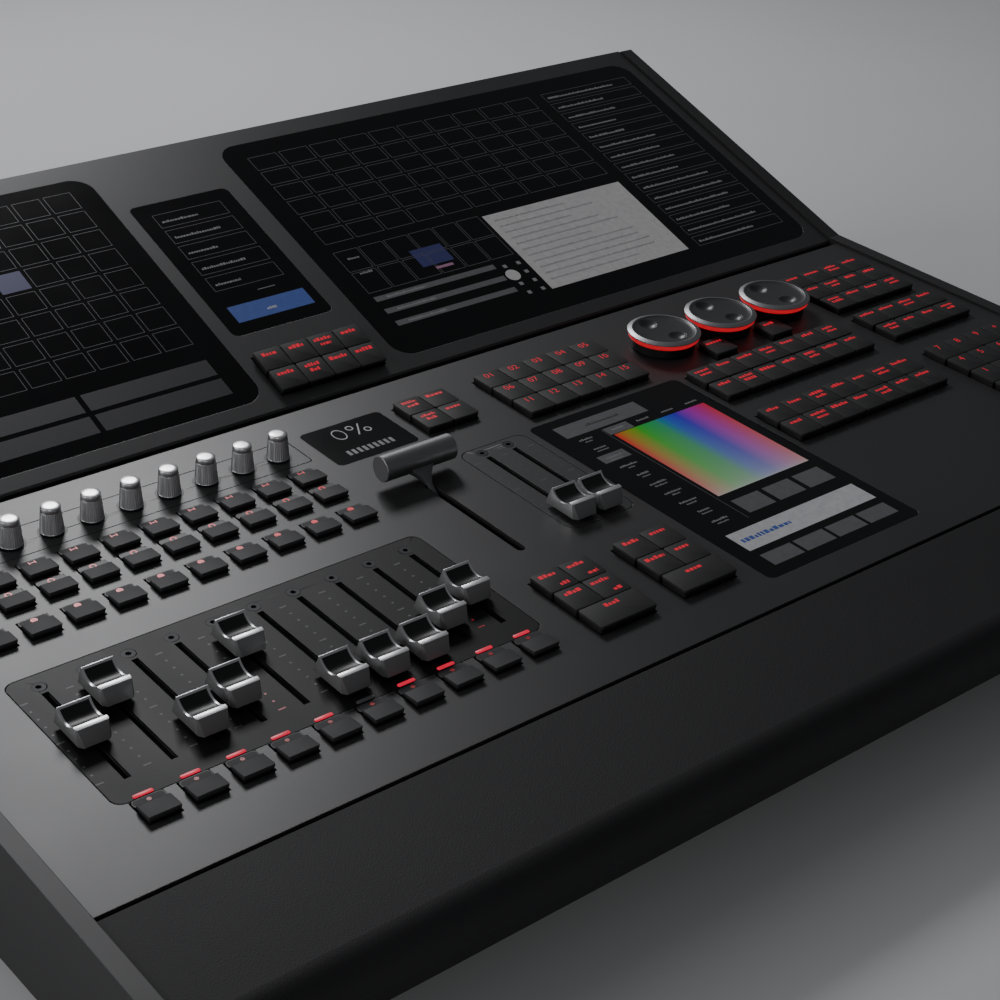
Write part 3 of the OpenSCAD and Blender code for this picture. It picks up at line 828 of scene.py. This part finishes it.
def knob_master(radius, foot, top):
    """A ribbed metal knob with a smooth bright band and a low dome."""
    ribs = 30
    deselect()
    bpy.ops.mesh.primitive_circle_add(vertices=ribs * 4, radius=radius, fill_type="NGON",
                                      location=(0, 0, foot))
    knob = bpy.context.object
    edit(knob, select="SELECT")
    height = top - foot
    levels = ((0.0, 1.0), (0.3, 0.99), (height - 2.9, 0.86), (height - 2.7, 0.82),
              (height - 2.4, 0.83), (height - 0.8, 0.82), (height - 0.35, 0.78),
              (height - 0.1, 0.68), (height, 0.42))
    for (low, size), (high, next_size) in zip(levels, levels[1:]):
        bpy.ops.mesh.extrude_region_move(TRANSFORM_OT_translate={"value": (0, 0, high - low)})
        bpy.ops.transform.resize(value=(next_size / size, next_size / size, 1),
                                 center_override=(0, 0, foot + high))
    bpy.ops.mesh.select_all(action="SELECT")
    bpy.ops.mesh.normals_make_consistent(inside=False)
    done()
    made("knob")
    for vertex in knob.data.vertices:
        if foot + 0.2 < vertex.co.z < top - 2.8:
            wave = math.cos(math.atan2(vertex.co.y, vertex.co.x) * ribs)
            vertex.co.xy *= 0.975 + 0.02 * wave
    paint(knob, KNOB)
    return smooth(knob, 32)


def fit_knobs():
    low, high = on(DECK, "knob_10")
    # A flat near-black disc round each knob's foot: painted shade standing for the dark recess
    # around the knob.
    recess_shade = turned("knob_recess_shade", [(0.0, 0.02), (6.8, 0.02), (6.8, 0.05), (0.0, 0.05)], 40)
    paint(recess_shade, SHADE_BLACK)
    shaft = turned("knob_shaft", [(0.0, low.z), (3.0, low.z), (3.0, 0.9), (0.0, 0.9)], 24)
    paint(shaft, STEEL)
    master = knob_master((high.x - low.x) / 2, 0.6, high.z)
    for n in range(1, COLUMNS + 1):
        name = f"knob_{n:02d}"
        at = [(column_x(n), KNOB_ROW, 0)]
        settle(repeat(name + "_cap", master, at), DECK, name, "knob_metal", name)
        settle(repeat(name + "_shaft", shaft, at), DECK, name, "knob_metal", name)
        settle(repeat(name + "_recess_shade", recess_shade, at), DECK, "desk", "gloss_black")
    drop(master, shaft, recess_shade)


WHEEL_RIM, WHEEL_SKIRT, WHEEL_FOOT = 1.8, 3.3, 1.0


def wheel_master(radius, top, foot):
    """A dished wheel with a bright chamfered rim and two finger dimples."""
    under = top - WHEEL_RIM
    chamfer, dish = 2.3, 1.6
    profile = [(0.0, foot), (16.4, foot), (16.4, under), (radius - 0.35, under),
               (radius, under + 0.3),
               (radius, under + 0.6), (radius - 0.2, under + 0.85),
               (radius - chamfer, top - 0.08), (radius - chamfer - 0.35, top),
               (radius - chamfer - 0.8, top - 0.12)]
    inner = radius - chamfer - 0.8
    slope = [math.radians(a) for a in range(15, 90, 15)]
    profile += [(inner * math.cos(t), top - 0.12 - (dish - 0.12) * math.sin(t)) for t in slope]
    profile.append((0.0, top - dish))
    wheel = turned("wheel", profile, 96)
    paint(wheel, WHEEL, RIM)
    for x, y in ((-2.0, 10.4), (2.0, -8.4)):
        deselect()
        bpy.ops.mesh.primitive_uv_sphere_add(segments=48, ring_count=32, radius=7.1,
                                             location=(x, y, top + 3.7))
        tool = made("dimple")
        paint(tool, WHEEL)
        cut(wheel, tool)
    paint_where(wheel, 1, lambda f: f.center.xy.length > radius - chamfer - 0.7)
    return smooth(wheel, 28)


def fit_wheels():
    low, high = on(DECK, "wheel_1")
    radius, top = (high.x - low.x) / 2, high.z
    skirt_top, skirt_foot = top - WHEEL_RIM, top - WHEEL_RIM - WHEEL_SKIRT
    dish = wheel_master(radius, top, skirt_foot + 0.15)
    r = radius - 0.7
    low_edge = skirt_top - 2.8
    glow = turned("ring", [(r - 3, low_edge), (r - 0.9, low_edge), (r - 0.1, low_edge + 0.8),
                           (r, low_edge + 1.2), (r, skirt_top + 0.05),
                           (r - 3, skirt_top + 0.05), (r - 3, low_edge)], 96)
    paint(glow, RING)
    neck = turned("neck", [(0.0, low.z), (3.0, low.z), (3.0, WHEEL_FOOT), (17.2, WHEEL_FOOT),
                           (17.5, WHEEL_FOOT + 0.3), (17.5, low_edge + 0.1),
                           (16.5, low_edge + 0.1), (16.5, skirt_foot + 0.1),
                           (0.0, skirt_foot + 0.1)], 72)
    # The neck is painted near-black: painted shade beneath the wheel.
    paint(neck, SHADE_BLACK)
    for n in (1, 2, 3):
        name = f"wheel_{n}"
        at = [centre_of(on(DECK, name))]
        settle(repeat(name + "_dish", dish, at), DECK, name, "wheel_black", name)
        settle(repeat(name + "_light_ring", smooth(glow), at), DECK, name, "wheel_black", name)
        settle(repeat(name + "_neck", smooth(neck), at), DECK, name, "wheel_black", name)
    drop(dish, glow, neck)


# ---------------------------------------------------------------- crossfade lever


def fit_lever():
    low, high = on(LEVER, "lever_grip")
    length, radius = high.x - low.x, (high.y - low.y) / 2
    half, round_off = length / 2, 0.35
    profile = [(0.0, -half), (radius - round_off, -half), (radius, round_off - half),
               (radius, half - round_off), (radius - round_off, half), (0.0, half)]
    grip = turned("lever_grip_barrel", profile, 64)
    grip.data.transform(Matrix.Translation((0, LEVER_R, 0)) @ Matrix.Rotation(math.pi / 2, 4, "Y"))
    paint(grip, GRIP, GRIP_END)
    paint_where(grip, 1, lambda f: abs(f.normal.x) > 0.9)
    smooth(grip, 30)
    settle(grip, LEVER, "crossfade_lever", "grip_paint", "lever_grip")

    blade = block("lever_stem_blade", -1.2, -2, 1.2, LEVER_R - 14.5, -1.1, 1.1)
    pick(blade, lambda f: f.normal.y > 0.9)
    for rise, wide, thick in ((4.0, 2.4, 1.6), (5.6, 2.45, 1.25)):
        bpy.ops.mesh.extrude_region_move(TRANSFORM_OT_translate={"value": (0, rise, 0)})
        bpy.ops.transform.resize(value=(wide, 1, thick), center_override=(0, 0, 0))
    done()
    modify(blade, "BEVEL", width=0.3, segments=2, limit_method="ANGLE")
    paint(blade, STEM)
    settle(smooth(blade), LEVER, "crossfade_lever", "dark_steel", "lever_stem")
    arm = block("lever_stem_arm", -1.2, 0, 1.2, 34, -3, 3)
    modify(arm, "BEVEL", width=0.3, segments=2)
    paint(arm, STEM)
    settle(smooth(arm), LEVER, "crossfade_lever", "dark_steel", "lever_stem")
    hub = turned("lever_stem_hub", [(2.55, -4), (6.6, -4), (7, -3.6), (7, 3.6), (6.6, 4),
                                    (2.55, 4), (2.55, -4)], 48)
    hub.data.transform(Matrix.Rotation(math.pi / 2, 4, "Y"))
    paint(hub, STEM)
    settle(smooth(hub), LEVER, "crossfade_lever", "dark_steel", "lever_stem")


# ---------------------------------------------------------------- keys


KEY_STEM = 4.0


def square_key_master(low, high):
    """A thin grey cap with round corners on a skirt painted black as painted shade under the cap.
    """
    w, l = (high.x - low.x) / 2, (high.y - low.y) / 2
    lip = high.z - 1.3
    cap = block("key", -w, -l, w, l, lip, high.z)
    round_uprights(cap, 1.3, 4)
    round_top(cap, 0.28, 2)
    skirt = block("skirt", 0.15 - w, 0.15 - l, w - 0.15, l - 0.15, low.z + KEY_STEM, lip + 0.01)
    round_uprights(skirt, 1.2, 4)
    paint(cap, KEY, SHADE_BLACK)
    paint(skirt, KEY, SHADE_BLACK)
    # The skirt is painted black all over: painted shade under the cap.
    paint_where(skirt, 1, lambda f: True)
    return smooth(joined("key", [cap, skirt]), 40)


def key_stem_master(low):
    stem = block("key_stem", -2.5, -2.5, 2.5, 2.5, low.z, low.z + KEY_STEM + 0.1)
    round_uprights(stem, 0.6, 2)
    return paint(stem, DISH)


def fit_square_keys(node, place=DECK):
    """The caps and stems of one block of keys; gives back each key's box."""
    found = boxes(node, place)
    cap = square_key_master(*found[0])
    stem = key_stem_master(found[0][0])
    at = [centre_of(b) for b in found]
    settle(repeat(node + "_caps", cap, at), place, node, "key_rubber", node)
    settle(repeat(node + "_stems", stem, at), place, node, "key_rubber", node)
    drop(cap, stem)
    return found


def legend(node, found, kinds, place=DECK):
    """A short lit mark near the rear edge of every key, and on some a second in front."""
    spots = []
    for i, (low, high) in enumerate(found):
        kind = kinds[i % len(kinds)]
        x, y = (low.x + high.x) / 2, high.y - 3.6
        if kind == "two":
            spots += word_line(x - 0.8, y, draw.uniform(7, 10.5), 2.4)
            spots += word_line(x + 2.4, low.y + 3.6, draw.uniform(2.6, 6), 2.3)
        elif kind == "stack":
            spots += word_line(x, y, draw.uniform(7.5, 11), 2.3)
            spots += word_line(x, y - 3.7, draw.uniform(6, 9), 2.3)
        else:
            spots += word_line(x, y, draw.uniform(7.5, 11.5), 2.5)
    lit_marks = marks(node + "_legends", spots, found[0][1].z + 0.02, RED)
    settle(lit_marks, place, node, "key_rubber")


def numerals(node, found, texts, size=6.2, place=DECK):
    pieces = []
    for (low, high), text in zip(found, texts):
        at = ((low.x + high.x) / 2, high.y - 4.0, high.z + 0.02)
        pieces.append(words("numeral", text, size, at, RED))
    settle(joined(node + "_numerals", pieces), place, node, "key_rubber")


def fit_key_blocks():
    legend("record_keys", fit_square_keys("record_keys"), ["stack", "word"])
    found = fit_square_keys("macro_keys")
    numerals("macro_keys", found, [f"{n:02d}" for n in range(1, 16)])
    legend("transport_keys", fit_square_keys("transport_keys"), ["two", "two", "word", "word",
                                                                "word", "two", "word", "word"])
    legend("commit_key", fit_square_keys("commit_key"), ["word"])
    legend("go_key", fit_square_keys("go_key"), ["word"])
    legend("command_keys", fit_square_keys("command_keys"), ["word", "word", "stack"])
    found = fit_square_keys("number_keys")
    numerals("number_keys", found, "789+456-123/0.:=<>^*")
    legend("menu_keys", fit_square_keys("menu_keys", SCREEN), ["word", "word", "stack"], SCREEN)


WINDOW_LEVEL, WINDOW_DEPTH = 0.6, 4.4


def small_key_master(low, high, shaded_window):
    """A raised front pad on a skirt painted black as painted shade, and a low window behind it
    whose sides are painted black as shade.
    """
    half = (high.y - low.y) / 2
    w = (high.x - low.x) / 2
    back = half - WINDOW_DEPTH
    pad = outline("pad", [(-half, 1.3), (back, 1.3), (back - 1.5, high.z - 0.45),
                          (-half + 0.3, high.z), (-half, high.z - 0.3)], 2 * w)
    pick(pad, lambda e: abs(middle(e).x) > w - 0.01 and middle(e).y < 0.3 - half
         and abs(e.verts[0].co.z - e.verts[1].co.z) > 0.5, "EDGE")
    bpy.ops.mesh.bevel(offset=1.1, segments=3, affect="EDGES")
    done()
    modify(pad, "BEVEL", width=0.22, segments=2, limit_method="ANGLE",
           angle_limit=math.radians(35))
    skirt = block("skirt", 0.15 - w, 0.2 - half, w - 0.15, back - 0.1, low.z + KEY_STEM, 1.35)
    round_uprights(skirt, 1.0, 3)
    window = block("window", -w, back - 0.3, w, half, low.z + KEY_STEM, WINDOW_LEVEL)
    round_uprights(window, 1.9, 5)
    pick(window, lambda f: f.normal.z > 0.9)
    bpy.ops.mesh.inset(thickness=0.45)
    done()
    for part in (pad, skirt, window):
        paint(part, SMALL_KEY, SHADE_BLACK)
    # Skirts are painted black as painted shade under the pads. Window sides are painted black as
    # painted shade, the thin outline as the gap round the window, and the whole window when the
    # last argument asks for it, as painted shade.
    paint_where(skirt, 1, lambda f: True)
    paint_where(window, 1, lambda f: shaded_window or f.area < 20)
    return smooth(joined("small_key", [pad, skirt, window]), 30)


def fit_small_row(name, node, found, sign, material, shaded_window=False):
    """One row of small keys, their stems and the lit sign in each window."""
    # The last argument paints the whole of each window black, as painted shade.
    master = small_key_master(*found[0], shaded_window)
    stem = key_stem_master(found[0][0])
    at = [centre_of(b) for b in found]
    settle(repeat(name + "_caps", master, at), DECK, node, "key_rubber", node)
    settle(repeat(name + "_stems", stem, at), DECK, node, "key_rubber", node)
    places = [(centre_of(b)[0], b[1].y - 2.3, WINDOW_LEVEL + 0.03) for b in found]
    settle(repeat(name + "_signs", paint(sign, material), places), DECK, node, "key_rubber")
    drop(master, stem, sign)


def ring_sign(radius, stroke):
    return turned("sign", [(radius - stroke, 0), (radius, 0), (radius, 0.04),
                           (radius - stroke, 0.04), (radius - stroke, 0)], 20)


def tick_sign():
    """Two short strokes and a dash between them."""
    spots = [(-1.7, -1.2, -1.1, 1.2), (-0.9, -0.3, 0.9, 0.3), (1.1, -1.2, 1.7, 1.2)]
    return marks("sign", spots, 0, RED)


def fit_small_keys():
    found = boxes("playback_keys")
    rear, middle_row, front = (found[i * COLUMNS:(i + 1) * COLUMNS] for i in range(3))
    fit_small_row("select_row", "playback_keys", rear, tick_sign(), RED)
    # The middle row's windows are painted black all over: painted shade cast by the raised pads of
    # the rear row.
    fit_small_row("arrow_row", "playback_keys", middle_row, ring_sign(1.7, 0.7), RED, True)
    fit_small_row("play_row", "playback_keys", front, ring_sign(1.6, 1.59), RED)
    fit_small_row("flash_row", "flash_keys", boxes("flash_keys"), ring_sign(1.0, 0.99), RED_LOW)


# ---------------------------------------------------------------- marks on the deck

LAMP_ROW = -106.6
LAMPS_OUT = (6,)
SCALE_MARKS, SCALE_STEP = 11, 6.0
BANK_SCALE_REAR, MASTER_SCALE_REAR = -32.5, 18.5
MASTERS_MIDDLE, MASTER_SCALES_APART = 92.9, 16.7


def bank_scales():
    """Dots every 6 mm between the slots and a dash every 30, some of them lit."""
    spots, glowing = [], []
    for n in range(1, COLUMNS + 1):
        x = column_x(n) - PITCH / 2
        for i in range(SCALE_MARKS):
            y = BANK_SCALE_REAR - i * SCALE_STEP
            wide, tall = (1.7, 0.4) if i % 5 == 0 else (0.55, 0.5)
            spot = (x - wide, y - tall, x + wide, y + tall)
            (glowing if n in (5, 10) and i > 6 else spots).append(spot)
    settle(marks("bank_scale", spots, 0.03, PRINT), DECK, "desk", "gloss_black")
    settle(marks("bank_scale_glow", glowing, 0.03, RED_LOW), DECK, "desk", "gloss_black")


def lamp_master(material):
    lamp = block("lamp", -4.25, -0.95, 4.25, 0.95, -0.2, 0.35)
    round_uprights(lamp, 0.8, 4)
    round_top(lamp, 0.15, 2)
    return smooth(paint(lamp, material))


def fader_lamps():
    """A low round-ended lamp under every slot, one of them out."""
    for name, material, columns in (
            ("fader_lamps", LAMP, [n for n in range(1, COLUMNS + 1) if n not in LAMPS_OUT]),
            ("fader_lamps_out", LAMP_OFF, LAMPS_OUT)):
        lamp = lamp_master(material)
        piece = repeat(name, lamp, [(column_x(n), LAMP_ROW, 0) for n in columns])
        settle(piece, DECK, "desk", "gloss_black")
        drop(lamp)


def master_scales():
    spots = []
    for i in range(SCALE_MARKS):
        y = MASTER_SCALE_REAR - i * SCALE_STEP
        for side in (-1, 0, 1):
            x = MASTERS_MIDDLE + side * MASTER_SCALES_APART
            wide, tall = (2.0, 0.4) if i % 5 == 0 else (0.5, 0.45)
            spots.append((x - wide, y - tall, x + wide, y + tall))
    settle(marks("master_scale", spots, 0.03, PRINT), DECK, "desk", "deck_paint")


# ---------------------------------------------------------------- what the screens show


def on_glass(name, spots, level, material, place, body):
    return settle(marks(name, spots, level, material), place, body, "display_black")


def grid(left, front, right, rear, columns, rows, gap):
    """The tiles of a grid that fills a rectangle."""
    w, h = (right - left) / columns, (rear - front) / rows
    return [(left + i * w + gap / 2, front + j * h + gap / 2,
             left + (i + 1) * w - gap / 2, front + (j + 1) * h - gap / 2)
            for j in range(rows) for i in range(columns)]


def frames(cells, line=0.3):
    """Four thin tiles round each cell."""
    spots = []
    for left, front, right, rear in cells:
        spots += [(left, front, right, front + line), (left, rear - line, right, rear),
                  (left, front, left + line, rear), (right - line, front, right, rear)]
    return spots


def text_rows(left, rear, width, rows, step, height):
    spots = []
    for i in range(rows):
        w = width * draw.uniform(0.45, 1.0)
        spots += word_line(left + w / 2, rear - i * step, w, height)
    return spots


def ring_mark(name, x, y, radius, stretch, turn=0.0):
    """A thin flat ring, a little narrow as a numeral is."""
    ring = turned(name, [(radius - 0.75, 0), (radius, 0), (radius, 0.03),
                         (radius - 0.75, 0.03), (radius - 0.75, 0)], 32)
    shape = Matrix.Rotation(turn, 4, "Z") @ Matrix.Diagonal((stretch, 1, 1, 1))
    ring.data.transform(Matrix.Translation((x, y, 0.04)) @ shape)
    return paint(ring, SCREEN_PALE)


def status_content():
    """A thin zero and per cent sign, and a level bar below them."""
    rings = [ring_mark("zero", 37.5, 80, 5.3, 0.66), ring_mark("per", 45.5, 83, 2.3, 0.9),
             ring_mark("cent", 53, 77.5, 2.3, 0.9)]
    stroke = tile("stroke", -0.4, -5.8, 0.4, 5.8, 0)
    stroke.data.transform(Matrix.Translation((49, 80, 0.05)) @ Matrix.Rotation(-0.5, 4, "Z"))
    rings.append(paint(stroke, SCREEN_PALE))
    number = joined("status_number", rings)
    settle(number, DECK, "desk", "display_black")
    on_glass("status_bar", grid(29.5, 59, 58, 65, 9, 1, 1.3), 0.04, SCREEN_GREY, DECK, "desk")


PALETTE_LEFT, PALETTE_RIGHT, FIELD_LEFT = 128, 214, 151.5


def palette_content():
    body = "desk"
    on_glass("palette_title", [(129, 13, 184, 25)], 0.03, SCREEN_LINE, DECK, body)
    on_glass("palette_title_words", word_line(157, 19, 22, 2.2), 0.06, SCREEN_DIM, DECK, body)
    on_glass("palette_tab", [(150, 4, 166, 11)], 0.03, SCREEN_LINE, DECK, body)
    tabs = [s for x in range(158, 210, 17) for s in word_line(x, 8, 8, 1.6)]
    on_glass("palette_tab_words", tabs, 0.06, SCREEN_GREY, DECK, body)
    on_glass("palette_rule", [(149, -93.5, 149.3, 10.5)], 0.04, SCREEN_LINE, DECK, body)
    on_glass("palette_picked", [(PALETTE_LEFT, -17, 145, -9.5)], 0.03, SCREEN_LINE, DECK, body)
    levels = [8 - 10.5 * i for i in range(10)]
    names = [s for y in levels for s in word_line(136.5, y, draw.uniform(7, 11), 1.5)
             + word_line(136.5, y - 2.6, draw.uniform(4, 9), 1.1)]
    on_glass("palette_item_words", names, 0.06, SCREEN_GREY, DECK, body)
    low, high = Vector((FIELD_LEFT, -71, 0)), Vector((PALETTE_RIGHT, 3.5, 0))
    field = tile("palette_colour_field", low.x, low.y, high.x, high.y, 0.03)
    paint(field, colour_field("palette_colours", DECK @ low, DECK @ high))
    settle(field, DECK, body, "display_black")
    level = [(PALETTE_LEFT, -115, PALETTE_RIGHT, -99)]
    on_glass("palette_level", level, 0.03, SCREEN_PALE, DECK, body)
    on_glass("palette_level_words", text_rows(131, -107, 60, 1, 1, 3.0), 0.06, SCREEN_BLUE,
             DECK, body)
    sliders = grid(FIELD_LEFT, -92, PALETTE_RIGHT, -76, 3, 1, 3)
    on_glass("palette_sliders", sliders, 0.03, SCREEN_LINE, DECK, body)
    foot = grid(PALETTE_LEFT, -131, PALETTE_RIGHT, -119, 4, 1, 2)
    on_glass("palette_foot", foot, 0.03, SCREEN_LINE, DECK, body)


MAIN_BLOB = (215, 47)
DOT_HALF = 1.3


def main_dots():
    """Two columns of four buttons, less the one whose place the large button takes."""
    places = [(x, y) for x in (215, 225) for y in (31, 39, 47, 55) if (x, y) != MAIN_BLOB]
    return [(x - DOT_HALF, y - DOT_HALF, x + DOT_HALF, y + DOT_HALF) for x, y in places]


def main_screen_content():
    body = "screen_deck"
    levels = (36, 46.5, 57)
    bars = [(125, y - 2, 209, y + 2) for y in levels]
    on_glass("main_bars", bars, 0.04, SCREEN_LINE, SCREEN, body)
    labels = [s for y in levels for s in word_line(146, y, 26, 1.5)]
    labels += word_line(134, 92, 8, 1.6) + word_line(134, 79, 9, 1.6)
    on_glass("main_labels", labels, 0.07, SCREEN_GREY, SCREEN, body)
    cells = grid(124, 62, 228, 100, 6, 2, 1.2) + grid(124, 106, 338, 192, 10, 6, 2.0)
    on_glass("main_cells", frames(cells), 0.04, SCREEN_LINE, SCREEN, body)
    on_glass("main_blue_field", [(168, 71, 190, 86)], 0.04, SCREEN_NAVY, SCREEN, body)
    on_glass("main_pill", [(175, 67, 187, 69)], 0.07, SCREEN_PINK, SCREEN, body)
    on_glass("main_dots", main_dots(), 0.07, SCREEN_GREY, SCREEN, body)
    blob = disc("main_blob", 4.6, 0.03, 0.08, 32, MAIN_BLOB)
    settle(paint(blob, SCREEN_WHITE), SCREEN, body, "display_black")
    on_glass("main_pale_field", [(230, 28.5, 338, 98)], 0.04, SCREEN_WHITE, SCREEN, body)
    rows = text_rows(235, 92, 90, 11, 5.6, 1.4)
    on_glass("main_field_words", rows, 0.07, SCREEN_GREY, SCREEN, body)
    on_glass("main_list", frames(grid(346, 27, 421, 192, 1, 15, 2.4)), 0.04, SCREEN_LINE,
             SCREEN, body)
    on_glass("main_list_words", text_rows(350, 186, 60, 15, 11, 1.8), 0.07, SCREEN_GREY,
             SCREEN, body)


def side_screen_content():
    body = "screen_deck"
    on_glass("side_cells", frames(grid(-210, 60, 14, 196, 12, 8, 2.4)), 0.04, SCREEN_LINE,
             SCREEN, body)
    on_glass("side_bars", grid(-210, 20, 14, 50, 3, 2, 3.0), 0.04, SCREEN_DIM, SCREEN, body)
    on_glass("side_blue", grid(-98, 128, -42, 145, 3, 1, 2.4), 0.07, SCREEN_NAVY, SCREEN, body)
    on_glass("side_words", text_rows(-206, 43, 60, 2, 15, 2.0), 0.07, SCREEN_GREY, SCREEN, body)


def menu_screen_content():
    body = "screen_deck"
    on_glass("menu_button", [(44, 67, 92, 80)], 0.04, SCREEN_BLUE, SCREEN, body)
    on_glass("menu_button_words", word_line(67.5, 72, 6, 1.8), 0.07, SCREEN_PALE, SCREEN, body)
    on_glass("menu_rule", [(68, 87, 79, 87.5)], 0.07, SCREEN_GREY, SCREEN, body)
    on_glass("menu_rows", frames(grid(44, 92, 90, 163, 1, 5, 2.6)), 0.04, SCREEN_LINE,
             SCREEN, body)
    on_glass("menu_row_words", text_rows(48, 155, 30, 5, 14.2, 1.8), 0.07, SCREEN_GREY,
             SCREEN, body)


add_camera()
add_studio()
add_floor()
finish_cad_nodes()
lay_panels()
fit_fader_caps()
fit_knobs()
fit_wheels()
fit_lever()
fit_key_blocks()
fit_small_keys()
bank_scales()
fader_lamps()
master_scales()
status_content()
palette_content()
main_screen_content()
side_screen_content()
menu_screen_content()
